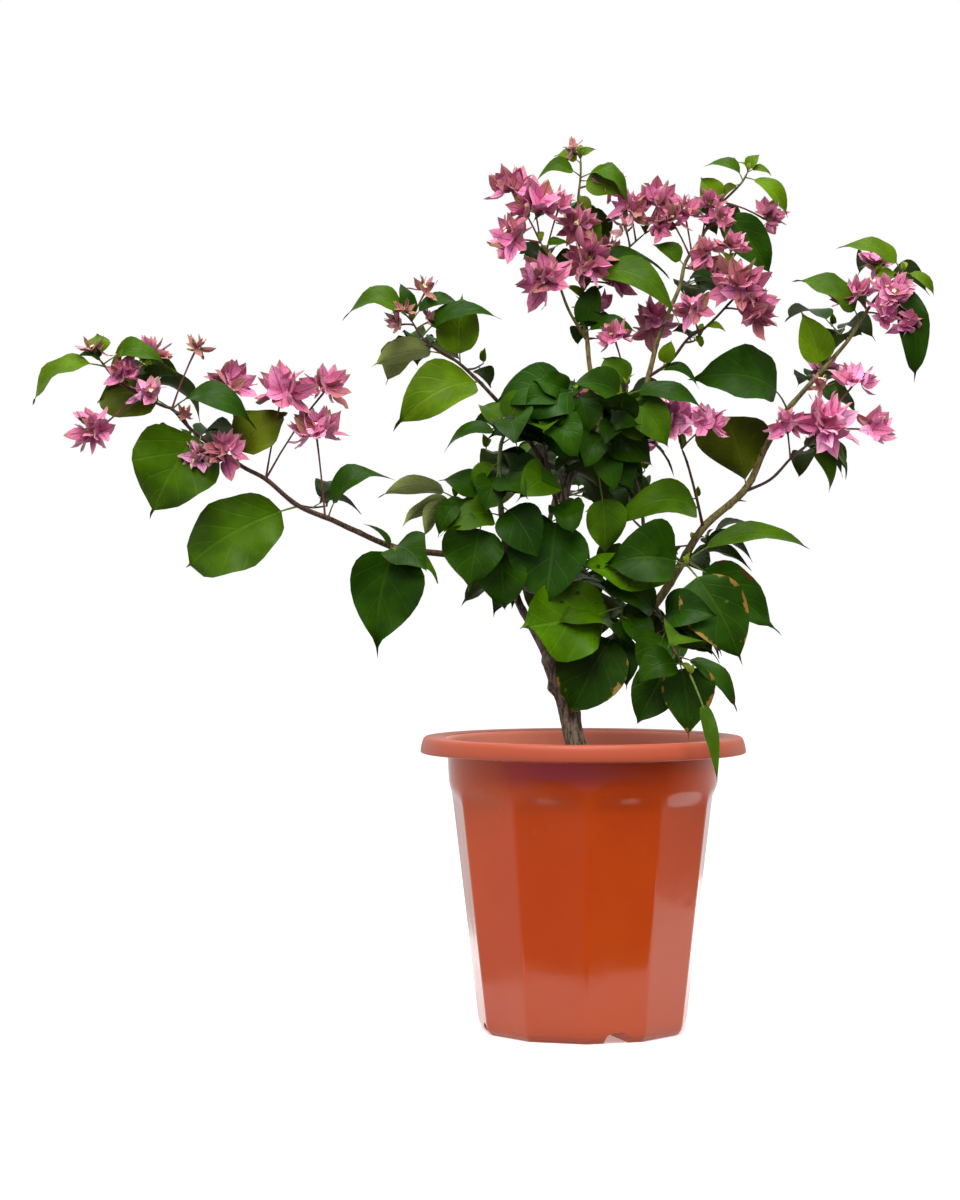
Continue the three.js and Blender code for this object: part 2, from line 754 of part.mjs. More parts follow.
// A leaf with its stalk: a thin closed solid, folded along its middle and arched along its length.
// Its outline runs from the root by a slim stalk to the widest part and the tip, and back.
function leafSolid(root, frame, reach, width, arch, thickness, plain) {
  const at = (share, side, lift) => {
    const rise = arch * 4 * share * (1 - share) * reach + BLADE_FOLD * Math.abs(side);
    return root.clone()
      .addScaledVector(frame.along, share * reach)
      .addScaledVector(frame.across, side)
      .addScaledVector(frame.out, rise + lift);
  };
  const broad = (plain ? PLAIN_OUTLINE : LEAF_OUTLINE).map(([share, half]) => [share, (half * width) / 2]);
  const left = [[0, STALK_HALF], ...broad];
  const right = left.map(([share, half]) => [share, -half]).reverse();
  const outline = [...left, [1, 0], ...right];
  const vertices = outline.map(([share, side]) => at(share, side, 0));
  const top = vertices.push(at(LEAF_RIB, 0, thickness / 2)) - 1;
  const under = vertices.push(at(LEAF_RIB, 0, -thickness / 2)) - 1;
  const heel = vertices.push(at(0, 0, -1.5 * STALK_HALF)) - 1;
  const last = outline.length - 1;
  const faces = [[last, 0, heel], [0, under, heel], [under, last, heel]];
  outline.forEach((unused, corner) => {
    const next = (corner + 1) % outline.length;
    faces.push([next, corner, top]);
    if (next !== 0) {
      faces.push([corner, next, under]);
    }
  });
  return solidFrom(vertices, faces);
}

// Three directions at right angles to each other, set evenly round an axis.
function cornerDirections(axis, twist) {
  const side = new THREE.Vector3(-axis.y, axis.x, 0.001).normalize();
  const other = axis.clone().cross(side);
  return [0, 120, 240].map((turn) => axis.clone().multiplyScalar(Math.sqrt(1 / 3))
    .addScaledVector(side, Math.sqrt(2 / 3) * Math.cos(radians(turn + twist)))
    .addScaledVector(other, Math.sqrt(2 / 3) * Math.sin(radians(turn + twist))));
}

// The outward faces of a bract that grows from the hub's face with the given three corners:
// it widens to a left and a right corner and ends in a tip.
function bractFaces(vertices, base, centre, axis, length) {
  const middle = base.reduce((sum, corner) => sum.add(vertices[corner]), new THREE.Vector3()).divideScalar(3);
  const along = middle.clone().sub(centre).normalize();
  const across = axis.clone().cross(along).normalize();
  const out = along.clone().cross(across);
  const sideways = (corner) => vertices[corner].clone().sub(middle).dot(across);
  const [right, single, left] = [...base].sort((a, b) => sideways(a) - sideways(b));
  const fold = -BRACT_FOLD * length * Math.sign(vertices[single].clone().sub(middle).dot(out));
  const edge = (share) => centre.clone()
    .addScaledVector(along, BRACT_WIDEST * length)
    .addScaledVector(across, share * BRACT_WIDTH * length)
    .addScaledVector(out, fold);
  const wideRight = vertices.push(edge(-0.5)) - 1;
  const wideLeft = vertices.push(edge(0.5)) - 1;
  const tip = vertices.push(centre.clone().addScaledVector(along, length)) - 1;
  const inside = middle.clone().addScaledVector(along, 0.3 * length).addScaledVector(out, 0.5 * fold);
  const faces = [
    [single, left, wideLeft], [single, wideLeft, tip], [single, tip, wideRight], [single, wideRight, right],
    [left, right, wideRight], [left, wideRight, wideLeft], [wideLeft, wideRight, tip],
  ];
  return faces.map((face) => outward(face, vertices, inside));
}

// The same face, turned round if it looks towards the given inner point.
function outward(face, vertices, inside) {
  const [a, b, c] = face.map((corner) => vertices[corner]);
  const normal = b.clone().sub(a).cross(c.clone().sub(a));
  return normal.dot(a.clone().sub(inside)) > 0 ? face : [face[0], face[2], face[1]];
}

// A flower head as one closed solid: an octahedral hub with six of its eight faces drawn out to
// bracts. The face at its foot stays bare for the stalk, and so does the one that faces outwards.
function headSolid(centre, axis, diameter, random) {
  const directions = cornerDirections(axis, 360 * random());
  const vertices = [];
  for (const sign of [1, -1]) {
    directions.forEach((direction) => {
      vertices.push(centre.clone().addScaledVector(direction, sign * HUB_SHARE * diameter));
    });
  }
  const faces = [];
  for (let index = 0; index < 8; index += 1) {
    const base = [0, 1, 2].map((corner) => corner + ((index >> corner) & 1 ? 3 : 0));
    if (index === 0 || index === 7) {
      faces.push(outward(base, vertices, centre));
    } else {
      const length = (diameter / 2) * (0.85 + 0.25 * random());
      faces.push(...bractFaces(vertices, base, centre, axis, length));
    }
  }
  return solidFrom(vertices, faces);
}

// Pot.

// Radius of a row of the pot at one step round it. "flat" is 1 where the panels are flat.
function potRadius(radius, flat, step) {
  const inPanel = (step % STEPS_PER_PANEL) / STEPS_PER_PANEL - 0.5;
  const halfPanel = Math.PI / PANELS;
  const flatRadius = (radius * Math.cos(halfPanel)) / Math.cos(2 * halfPanel * inPanel);
  return radius + (flatRadius - radius) * flat;
}

// The rows of the pot's outside and inside, each [radius, height, how flat its panels are].
function potRows() {
  const slope = (SHOULDER_RADIUS - HEEL_RADIUS) / (SHOULDER_HEIGHT - HEEL_HEIGHT);
  const insideFoot = HEEL_RADIUS - WALL + slope * (FLOOR - HEEL_HEIGHT);
  const lipFoot = POT_HEIGHT - LIP_HEIGHT;
  return [
    [FOOT_RADIUS, 0, 1],
    [FOOT_RADIUS + 3.4, 2.6, 1],
    [HEEL_RADIUS, HEEL_HEIGHT, 1],
    [SHOULDER_RADIUS, SHOULDER_HEIGHT, 1],
    [SHOULDER_RADIUS + slope * LEDGE_HEIGHT, SHOULDER_HEIGHT + LEDGE_HEIGHT, 0],
    [NECK_RADIUS, lipFoot - 1.5, 0],
    [LIP_RADIUS, lipFoot, 0],
    [RIM_RADIUS, POT_HEIGHT, 0],
    [MOUTH_RADIUS + 3, POT_HEIGHT - 1, 0],
    [MOUTH_RADIUS, POT_HEIGHT - 5, 0],
    [NECK_RADIUS - WALL, lipFoot - 6, 0],
    [SHOULDER_RADIUS - WALL + slope * LEDGE_HEIGHT, SHOULDER_HEIGHT + LEDGE_HEIGHT, 0],
    [SHOULDER_RADIUS - WALL, SHOULDER_HEIGHT, 1],
    [insideFoot, FLOOR, 1],
  ];
}

function turnedShell(rows) {
  const steps = PANELS * STEPS_PER_PANEL;
  const vertices = [];
  const faces = [];
  rows.forEach(([radius, height, flat]) => {
    for (let step = 0; step < steps; step += 1) {
      const angle = (2 * Math.PI * step) / steps - Math.PI / 2;
      const reach = potRadius(radius, flat, step);
      vertices.push(new THREE.Vector3(reach * Math.cos(angle), reach * Math.sin(angle), height));
    }
  });
  for (let row = 0; row < rows.length - 1; row += 1) {
    for (let step = 0; step < steps; step += 1) {
      const a = row * steps + step;
      const b = row * steps + ((step + 1) % steps);
      faces.push([a, b, b + steps], [a, b + steps, a + steps]);
    }
  }
  const last = (rows.length - 1) * steps;
  const foot = vertices.push(new THREE.Vector3(0, 0, rows[0][1])) - 1;
  const top = vertices.push(new THREE.Vector3(0, 0, rows[rows.length - 1][1])) - 1;
  for (let step = 0; step < steps; step += 1) {
    const next = (step + 1) % steps;
    faces.push([foot, next, step], [top, last + step, last + next]);
  }
  return solidFrom(vertices, faces);
}

// An arched channel that lies along a radius of the pot's foot, made wider and higher by "grow".
function drainChannel(turn, innerRadius, outerRadius, grow) {
  const half = DRAIN_WIDTH / 2 + grow;
  const height = DRAIN_HEIGHT + grow;
  const outline = new THREE.Shape();
  outline.moveTo(-half, -1);
  outline.lineTo(half, -1);
  outline.lineTo(half, height * 0.35);
  outline.absellipse(0, height * 0.35, half, height * 0.65, 0, Math.PI, false);
  const channel = new THREE.ExtrudeGeometry(outline, {
    depth: outerRadius - innerRadius,
    bevelEnabled: false,
    curveSegments: 2,
  });
  channel.rotateX(Math.PI / 2);
  channel.translate(0, outerRadius, 0);
  channel.rotateZ(radians(turn) + Math.PI);
  return solidOf(channel);
}

function drainHole(turn) {
  const hole = new THREE.CylinderGeometry(DRAIN_HOLE_RADIUS, DRAIN_HOLE_RADIUS, 2 * DRAIN_HEIGHT, 8);
  hole.rotateX(Math.PI / 2);
  hole.translate(0, DRAIN_HOLE_OUT, DRAIN_HEIGHT);
  hole.rotateZ(radians(turn) + Math.PI);
  return solidOf(hole);
}

const drainTurns = Array.from({ length: DRAINS }, (unused, index) => DRAIN_TURN + (360 / DRAINS) * index);

function potSolid() {
  let pot = turnedShell(potRows());
  for (const turn of drainTurns) {
    pot = pot.add(drainChannel(turn, DRAIN_INNER_RADIUS - WALL, FOOT_RADIUS - WALL, WALL));
  }
  for (const turn of drainTurns) {
    pot = pot.subtract(drainChannel(turn, DRAIN_INNER_RADIUS, FOOT_RADIUS + 15, 0));
    pot = pot.subtract(drainHole(turn));
  }
  const ground = new THREE.BoxGeometry(4 * LIP_RADIUS, 4 * LIP_RADIUS, 10);
  ground.translate(0, 0, -5);
  return smoothed(pot.subtract(solidOf(ground)), FINE_STEP);
}

// The potting mix fills the pot to a little under the rim and keeps clear of its wall and drains.
function soilSolid() {
  const rows = potRows();
  const [insideFoot] = rows[rows.length - 1];
  const fit = Math.cos(Math.PI / PANELS);
  const profile = [
    new THREE.Vector2(0, FLOOR + GAP),
    new THREE.Vector2(insideFoot * fit - 2 * GAP, FLOOR + GAP),
    new THREE.Vector2((SHOULDER_RADIUS - WALL) * fit - 2 * GAP, SHOULDER_HEIGHT),
    new THREE.Vector2(SHOULDER_RADIUS - WALL - 2 * GAP, SHOULDER_HEIGHT + LEDGE_HEIGHT),
    new THREE.Vector2(SHOULDER_RADIUS - WALL - GAP, SOIL_HEIGHT),
    new THREE.Vector2(0, SOIL_HEIGHT),
  ];
  const lathe = new THREE.LatheGeometry(profile, 2 * PANELS);
  lathe.rotateX(Math.PI / 2);
  let soil = solidOf(lathe);
  for (const turn of drainTurns) {
    soil = soil.subtract(drainChannel(turn, DRAIN_INNER_RADIUS - 2 * WALL, FOOT_RADIUS + 15, WALL + GAP));
  }
  return smoothed(soil, FINE_STEP);
}

// Limbs.

const LIMB_SPACING = 22;
const TWIG_SPACING = 22;

function limbRadius(limb, grow) {
  const even = taper(limb.radii, grow);
  return (share) => even(share) + (limb.flare ?? 0) * Math.exp(-share * 9);
}

function limbSolid(limb, grow = 0) {
  const line = centreLine(limb.points, LIMB_SPACING);
  const flatFoot = limb.from === undefined;
  const used = grow > 0 ? lengthened(line, grow) : line;
  return tube(used, limbRadius(limb, grow), limb.sides ?? 7, flatFoot && grow === 0);
}

// Foliage. Each part of a mass is offered to "keep", which adds it unless it touches something.

function growLeaf(line, leaf, keep) {
  const [place, turn, pitch, reach, face, width = LEAF_WIDTH, arch = LEAF_ARCH] = leaf;
  const plain = reach < PLAIN_REACH || width < PLAIN_WIDTH;
  const start = placeOn(line, place);
  const wide = LEAF_BREADTH * width * reach;
  const thick = LEAF_THICKNESS * reach;
  NUDGES.some((nudge) => {
    const frame = bladeFrame(heading(turn + nudge, pitch), face);
    const solid = leafSolid(start, frame, reach, wide, arch, thick, plain);
    return keep([solid], leafSolid(start, frame, reach, wide, arch, thick + 2 * LEAF_CLEARANCE, plain));
  });
}

function growHead(line, head, random, keep) {
  const [place, turn, pitch, stalkLength, diameter] = head;
  const start = placeOn(line, place);
  NUDGES.some((nudge) => {
    const axis = heading(turn + nudge, pitch);
    const centre = start.clone().addScaledVector(axis, stalkLength);
    const solid = headSolid(centre, axis, diameter, random);
    return keep([stalk(start, centre, STALK_HALF), solid], solid);
  });
}

function growTwig(line, twig, random, keep) {
  const start = placeOn(line, twig.at);
  NUDGES.some((nudge) => {
    const end = start.clone().addScaledVector(heading(twig.turn + nudge, twig.pitch), twig.length);
    const middle = start.clone().lerp(end, 0.5).add(new THREE.Vector3(0, 0, -0.04 * twig.length));
    const twigLine = [start, middle, end];
    const solid = tube(twigLine, taper([1, 0.7]), 3);
    const kept = keep([solid], solid);
    if (kept) {
      twig.leaves.forEach((leaf) => growLeaf(twigLine, leaf, keep));
      twig.heads.forEach((head) => growHead(twigLine, head, random, keep));
    }
    return kept;
  });
}

// Side twigs on the far side of a stem, which the viewer doesn't see, by one rule from the seed.
function rearTwigs(rear, random) {
  const { from = 55, to = 125 } = rear;
  return Array.from({ length: rear.twigs }, (unused, index) => {
    const place = (index + 0.3 + 0.4 * random()) / rear.twigs;
    const spread = (index * 0.618 + 0.2 * random()) % 1;
    const turn = from + (to - from) * spread;
    const leaves = Array.from({ length: rear.leaves }, (none, number) => [
      (number + 1) / rear.leaves,
      turn - 70 + 140 * ((number * 0.618 + 0.15 * random()) % 1),
      -35 + 55 * random(),
      rear.reach * (0.75 + 0.35 * random()),
      -40 * random(),
      0.6 + 0.15 * random(),
      0.08 + 0.1 * random(),
    ]);
    const heads = index % 2 === 0 && rear.heads > 0 ? [[1, turn, 55, 14, 36]] : [];
    return { at: place, turn, pitch: -5 + 35 * random(), length: rear.reach * 0.75, leaves, heads };
  });
}

function boxesMeet(first, second) {
  return [0, 1, 2].every((axis) => first.min[axis] <= second.max[axis] && second.min[axis] <= first.max[axis]);
}

function touches(solid, obstacles) {
  const box = solid.boundingBox();
  return obstacles.some((other) => boxesMeet(box, other.box) && !solid.intersect(other.solid).isEmpty());
}

// A mass starts as its bare stem, and every leaf, head and twig that can stay is fused to it.
function massSolid(mass, obstacles, cutters) {
  const random = randomNumbers(mass.seed);
  const line = centreLine(mass.points, TWIG_SPACING);
  const carrier = obstacles.filter((other) => other.name === mass.from);
  const others = obstacles.filter((other) => other.name !== mass.name && other.name !== mass.from);
  let fused = smoothed(tube(line, taper(mass.radii), 5).subtract(cutters.get(mass.from)), FINE_STEP);
  const keep = (solids, guard) => {
    if (touches(guard, others) || solids.some((solid) => touches(solid, carrier))) {
      return false;
    }
    const joined = wasm.Manifold.union([fused, ...solids]);
    const tries = STEPS.map((step) => smoothed(joined, step));
    const larger = tries.find(isClean);
    fused = larger ?? fused;
    return larger !== undefined;
  };
  mass.leaves.forEach((leaf) => growLeaf(line, leaf, keep));
  mass.heads.forEach((head) => growHead(line, head, random, keep));
  (mass.twigs ?? []).forEach((twig) => growTwig(line, twig, random, keep));
  if (mass.rear) {
    rearTwigs(mass.rear, random).forEach((twig) => growTwig(line, twig, random, keep));
  }
  return fused;
}

// Build order: pot and soil, limbs from the ground up, then the masses, each clear of what is there.

const plant = new THREE.Group();
const obstacles = [];
const cutters = new Map();

function addMesh(name, solid, colour) {
  const mesh = new THREE.Mesh(geometryOf(solid), colour);
  mesh.name = name;
  plant.add(mesh);
}

function addObstacle(name, solid) {
  obstacles.push({ name, solid, box: solid.boundingBox() });
}

const pot = potSolid();
addMesh("pot", pot, colours.pot);
addMesh("potting_mix", soilSolid(), colours.soil);
addObstacle("pot", pot);

for (const limb of limbs) {
  cutters.set(limb.name, limbSolid(limb, GAP));
}

for (const limb of limbs) {
  let solid = limbSolid(limb);
  for (const [name, cutter] of cutters) {
    if (name === limb.name) {
      break;
    }
    solid = solid.subtract(cutter);
  }
  addMesh(limb.name, smoothed(solid, FINE_STEP), colours.bark);
  addObstacle(limb.name, cutters.get(limb.name));
}

for (const mass of masses) {
  addObstacle(mass.name, tube(centreLine(mass.points, TWIG_SPACING), taper(mass.radii, GAP), 5));
}

for (const mass of masses) {
  const solid = massSolid(mass, obstacles, cutters);
  addMesh(mass.name, solid, colours.foliage);
  addObstacle(mass.name, solid);
}

export default plant;
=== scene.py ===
# %% [markdown]
# # A bougainvillea bush in a plastic pot
#
# The bush has one leaning trunk, long open boughs, glossy heart-shaped leaves and papery pink
# bracts, and it stands in an orange plastic pot with flat panels. The frame holds plain solids of
# the same parts at their real size. This lesson puts a finer surface in the place of each one.
# Every surface is worked out with numpy as whole arrays, in millimetres until a mesh is made.

import bpy
import numpy as np
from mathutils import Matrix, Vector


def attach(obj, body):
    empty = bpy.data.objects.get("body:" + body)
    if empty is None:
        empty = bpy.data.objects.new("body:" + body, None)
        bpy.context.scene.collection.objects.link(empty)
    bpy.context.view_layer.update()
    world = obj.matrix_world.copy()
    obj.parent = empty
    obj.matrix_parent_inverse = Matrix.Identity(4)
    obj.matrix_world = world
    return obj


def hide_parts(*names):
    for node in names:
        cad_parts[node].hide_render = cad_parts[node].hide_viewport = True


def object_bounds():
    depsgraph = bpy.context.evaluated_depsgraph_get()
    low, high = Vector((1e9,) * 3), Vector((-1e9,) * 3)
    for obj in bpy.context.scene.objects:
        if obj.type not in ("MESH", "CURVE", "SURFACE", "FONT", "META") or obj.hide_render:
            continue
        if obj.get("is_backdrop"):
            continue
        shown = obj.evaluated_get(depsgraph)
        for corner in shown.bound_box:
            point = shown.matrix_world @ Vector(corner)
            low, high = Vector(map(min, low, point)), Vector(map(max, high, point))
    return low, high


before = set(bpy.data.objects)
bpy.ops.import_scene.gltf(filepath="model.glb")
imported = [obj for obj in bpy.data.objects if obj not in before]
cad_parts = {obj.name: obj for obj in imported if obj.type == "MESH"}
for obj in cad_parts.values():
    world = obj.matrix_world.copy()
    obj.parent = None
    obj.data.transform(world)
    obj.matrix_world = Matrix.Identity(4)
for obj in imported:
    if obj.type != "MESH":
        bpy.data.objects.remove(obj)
cad_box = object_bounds()
MM = 0.001
print("frame of", len(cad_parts), "nodes; box in metres:", [tuple(corner) for corner in cad_box])

# %% [markdown]
# ## Camera
#
# The plant was photographed from about two and a half metres away, level with its leaves and a
# little to the left of the pot. A slightly shifted lens gives that framing with the camera held
# level, as for a catalogue, so upright lines stay upright.

# %% Place the camera
PHOTO_HEIGHT, HORIZON_ROW, FOCAL_PIXELS = 1200, 565, 3050
SENSOR = 36.0
VIEW_DISTANCE, VIEW_CENTRE = 2440, np.array([-82.4, 370.9])

scene = bpy.context.scene
lens = bpy.data.cameras.new("camera")
lens.sensor_width = SENSOR
lens.lens = SENSOR * FOCAL_PIXELS / PHOTO_HEIGHT
lens.shift_y = (HORIZON_ROW - PHOTO_HEIGHT / 2) / PHOTO_HEIGHT
camera = bpy.data.objects.new("camera", lens)
camera.location = (VIEW_CENTRE[0] * MM, -VIEW_DISTANCE * MM, VIEW_CENTRE[1] * MM)
camera.rotation_euler = (np.pi / 2, 0, 0)
scene.collection.objects.link(camera)
scene.camera = camera
scene.view_settings.view_transform = "Standard"
print("lens", round(lens.lens, 1), "mm, shift", round(lens.shift_y, 4))


# %% [markdown]
# ## Colours and materials
#
# Each finish is a node material, so that it looks right from any distance and needs no picture.
# The colours are written as they look on a screen and turned into light values, because Blender
# works in light. Small helpers place a node and link its inputs in one line.


# %% Define the material helpers
def paint(red, green, blue):
    """A screen colour from 0 to 255 as light: the value to the power 2.2, with full cover."""
    return (*((np.array([red, green, blue]) / 255) ** 2.2).tolist(), 1.0)


def put(tree, kind, inputs, **settings):
    """Place a shader node, then set or link each of its inputs by name or number."""
    made = tree.nodes.new("ShaderNode" + kind)
    for name, value in settings.items():
        setattr(made, name, value)
    for name, value in inputs.items():
        if isinstance(value, bpy.types.NodeSocket):
            tree.links.new(value, made.inputs[name])
        else:
            made.inputs[name].default_value = value
    return made


def reckon(tree, operation, first, second=0.0):
    """One step of arithmetic on two numbers or sockets."""
    return put(tree, "Math", {0: first, 1: second}, operation=operation).outputs[0]


def times(tree, first, second):
    """The product of two numbers or sockets."""
    return reckon(tree, "MULTIPLY", first, second)


def ramp(tree, value, low, high, at_low=0.0, at_high=1.0):
    """A smooth step: at_low where the value is low or less, at_high where it is high or more."""
    inputs = {"Value": value, "From Min": low, "From Max": high, "To Min": at_low, "To Max": at_high}
    return put(tree, "MapRange", inputs, interpolation_type="SMOOTHSTEP").outputs["Result"]


def blend(tree, share, first, second):
    """A mix of two colours by a share from 0 to 1."""
    made = put(tree, "Mix", {0: share, 6: first, 7: second}, data_type="RGBA")
    return made.outputs[2]


def noise(tree, place, scale, detail=3.0, roughness=0.55):
    """Cloudy noise of the given scale at a place."""
    inputs = {"Vector": place, "Scale": scale, "Detail": detail, "Roughness": roughness}
    return put(tree, "TexNoise", inputs).outputs["Fac"]


def pattern_place(tree):
    """The share of the way across a pattern and the share along it, as two sockets."""
    place = put(tree, "UVMap", {}, uv_map="pattern").outputs["UV"]
    return put(tree, "SeparateXYZ", {0: place}).outputs[:2]


def object_place(tree, stretch=(1.0, 1.0, 1.0)):
    """The place in the object in metres, stretched along its axes."""
    place = put(tree, "TexCoord", {}).outputs["Object"]
    return put(tree, "Mapping", {"Vector": place, "Scale": stretch}).outputs["Vector"]


def new_finish(name, **sockets):
    """An empty node material, its node tree and its main shader with plain values set."""
    material = bpy.data.materials.new(name)
    material.use_nodes = True
    shader = material.node_tree.nodes["Principled BSDF"]
    for socket, value in sockets.items():
        shader.inputs[socket.replace("_", " ")].default_value = value
    return material, material.node_tree, shader


def colour_by(tree, shader, colour):
    """Give a shader its base colour from a socket."""
    tree.links.new(colour, shader.inputs["Base Color"])


def add_bump(tree, shader, height, distance, strength=1.0):
    """Turn a height between 0 and 1 into a relief of so many metres on a shader."""
    bump = put(tree, "Bump", {"Height": height, "Distance": distance, "Strength": strength})
    tree.links.new(bump.outputs["Normal"], shader.inputs["Normal"])


print("material helpers are ready")

# %% [markdown]
# ## Light and floor
#
# A glossy pot looks like what stands around it. In a studio the wall behind is bright and the room
# in front is dim, and that is what puts pale edges on the pot and keeps its front a deep
# orange. So the surround's brightness depends on the direction. A violet band low down in front
# is what the neck under the rim mirrors. Soft lights from above and from both sides light the
# leaves. The camera sees the surround as even white paper.


# %% Add the surround
DIM, BRIGHT, HIGH_BRIGHT, VIOLET_BRIGHT = 0.14, 0.85, 0.75, 1.1
TOWARDS_LEFT = 0.45
COOL, WHITE, VIOLET = (0.86, 0.84, 1.0, 1.0), (1.0, 1.0, 1.0, 1.0), (0.5, 0.3, 1.0, 1.0)


def surround_light(tree):
    """Tint and brightness by direction. Bright behind and to the left, by the way back less a share
    of the way to the right; fairly bright high up; dim and cool in front. Violet in a band just
    below the horizon in front, which fades to the right and to the back: the product of a rise
    and a fall by height and two falls. What the camera sees itself is white."""
    direction = put(tree, "TexCoord", {}).outputs["Generated"]
    right, back, up = put(tree, "SeparateXYZ", {0: direction}).outputs
    seen = put(tree, "LightPath", {}).outputs["Is Camera Ray"]
    turned = reckon(tree, "SUBTRACT", back, times(tree, right, TOWARDS_LEFT))
    behind, above = ramp(tree, turned, -0.95, 0.3, DIM, BRIGHT), ramp(tree, up, 0.1, 0.5, 0.0, HIGH_BRIGHT)
    brightness = reckon(tree, "MAXIMUM", reckon(tree, "MAXIMUM", behind, above), seen)
    band = times(tree, ramp(tree, up, -0.28, -0.18), ramp(tree, up, -0.06, 0.04, 1, 0))
    side = times(tree, ramp(tree, right, -0.3, 0.9, 1, 0.2), ramp(tree, back, -0.6, -0.05, 1, 0))
    violet = times(tree, times(tree, band, side), reckon(tree, "SUBTRACT", 1.0, seen))
    tint = blend(tree, violet, blend(tree, ramp(tree, brightness, 0.1, 0.6), COOL, WHITE), VIOLET)
    return tint, reckon(tree, "MAXIMUM", brightness, times(tree, violet, VIOLET_BRIGHT))


world = bpy.data.worlds.new("surround")
world.use_nodes = True
for socket, value in zip(("Color", "Strength"), surround_light(world.node_tree)):
    world.node_tree.links.new(value, world.node_tree.nodes["Background"].inputs[socket])
scene.world = world
print("the surround is lit by direction")


# %% Add the lights
PLANT_MIDDLE = np.array([0, 0, 0.35])


def add_softbox(name, place, size, power, shine):
    """A rectangular soft light that faces the middle of the plant; shine says if gloss shows it."""
    light = bpy.data.lights.new(name, "AREA")
    light.shape = "RECTANGLE"
    light.size, light.size_y = size
    light.energy = power
    lamp = bpy.data.objects.new(name, light)
    lamp.location = place
    lamp.visible_glossy = shine
    aim = PLANT_MIDDLE - np.array(place)
    tilt = np.arctan2(np.hypot(aim[0], aim[1]), -aim[2])
    lamp.rotation_euler = (tilt, 0, np.arctan2(aim[1], aim[0]) - np.pi / 2)
    scene.collection.objects.link(lamp)


add_softbox("left_softbox", (-0.35, -1.55, 1.85), (1.1, 1.0), 32, False)
add_softbox("right_softbox", (1.7, -0.9, 0.9), (0.8, 1.4), 14, False)
add_softbox("top_softbox", (-0.1, -0.5, 2.2), (1.6, 1.4), 38, True)

# %% [markdown]
# The pot stands on white paper. Only a sheet close round the pot is mirrored in its gloss, as on a
# table that ends a hand's breadth in front of it, so the lower wall is pale and the upper wall
# deep orange.

# %% Lay the floor and the sheet
glow = {"Emission_Color": (1.0, 1.0, 1.0, 1.0), "Emission_Strength": 0.3}
floor_finish, tree, shader = new_finish("pale_floor", Roughness=0.9, **glow)
shade = ramp(tree, noise(tree, object_place(tree), 3.0), 0.3, 0.7)
colour_by(tree, shader, blend(tree, shade, paint(252, 252, 252), paint(255, 255, 255)))


def lay(name, x_range, y_range, height, mirrored):
    """A level rectangle of white paper at a height in metres. Neither one throws light back up."""
    corners = [(x, y, height) for y in y_range for x in x_range]
    mesh = bpy.data.meshes.new(name)
    mesh.from_pydata(corners, [], [(0, 1, 3, 2)])
    mesh.materials.append(floor_finish)
    paper = bpy.data.objects.new(name, mesh)
    paper.visible_glossy = mirrored
    paper.visible_diffuse = False
    scene.collection.objects.link(paper)
    paper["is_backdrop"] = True


lay("floor", (-15, 15), (-15, 15), -0.0006, False)
lay("sheet", (-0.22, 0.5), (-0.21, 1.0), -0.0003, True)
print("floor and sheet laid")

# %% [markdown]
# ## Making a mesh from arrays
#
# A leaf, a twig or a bract is one small pattern of faces, and the plant has hundreds of each. So a
# function gives the corners of all copies at once as one array, and the pattern is repeated with
# an offset. A batch gathers such arrays and makes a single object of them. That is far quicker
# than an object for each leaf.


# %% Define a batch of corners and faces
class Batch:
    """Corners, faces, material numbers and pattern coordinates that become one object."""

    def __init__(self):
        self.corners, self.faces, self.finishes, self.pattern_places, self.count = [], [], [], [], 0

    def add(self, corners, pattern, finishes, places=None):
        """Add copies of a pattern. Corners has one row for each copy; finishes has a number for
        each copy, or for each part of the pattern and copy; places has a pair for each corner."""
        copies, size = corners.shape[:2]
        for part, faces in enumerate(pattern):
            offset = self.count + size * np.arange(copies)[:, None, None]
            self.faces.append((faces[None] + offset).reshape(-1, faces.shape[1]))
            own = np.broadcast_to(finishes[part] if isinstance(finishes, list) else finishes, copies)
            self.finishes.append(np.repeat(own, len(faces)))
        pairs = np.zeros((size, 2)) if places is None else places
        self.corners.append(corners.reshape(-1, 3))
        self.pattern_places.append(np.broadcast_to(pairs, (copies, size, 2)).reshape(-1, 2))
        self.count += copies * size

    def make(self, name, materials, replaced, slot, crease=50):
        """One object at the origin, in metres, that rides on the plant and stands for nodes."""
        corners = np.concatenate(self.corners) * MM
        loops = np.concatenate([faces.ravel() for faces in self.faces])
        sizes = np.concatenate([np.full(len(faces), faces.shape[1]) for faces in self.faces])
        mesh = bpy.data.meshes.new(name)
        mesh.vertices.add(len(corners))
        mesh.vertices.foreach_set("co", corners.ravel())
        mesh.loops.add(len(loops))
        mesh.loops.foreach_set("vertex_index", loops)
        mesh.polygons.add(len(sizes))
        mesh.polygons.foreach_set("loop_start", np.cumsum(sizes) - sizes)
        mesh.polygons.foreach_set("material_index", np.concatenate(self.finishes))
        mesh.polygons.foreach_set("use_smooth", np.ones(len(sizes), bool))
        mesh.update(calc_edges=True)
        layer = mesh.uv_layers.new(name="pattern")
        layer.data.foreach_set("uv", np.concatenate(self.pattern_places)[loops].ravel())
        mesh.set_sharp_from_angle(angle=np.radians(crease))
        for material in materials:
            mesh.materials.append(material)
        piece = bpy.data.objects.new(name, mesh)
        scene.collection.objects.link(piece)
        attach(piece, "root")
        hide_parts(*replaced)
        print(name, "has", int((sizes - 2).sum()), "triangles")
        return piece


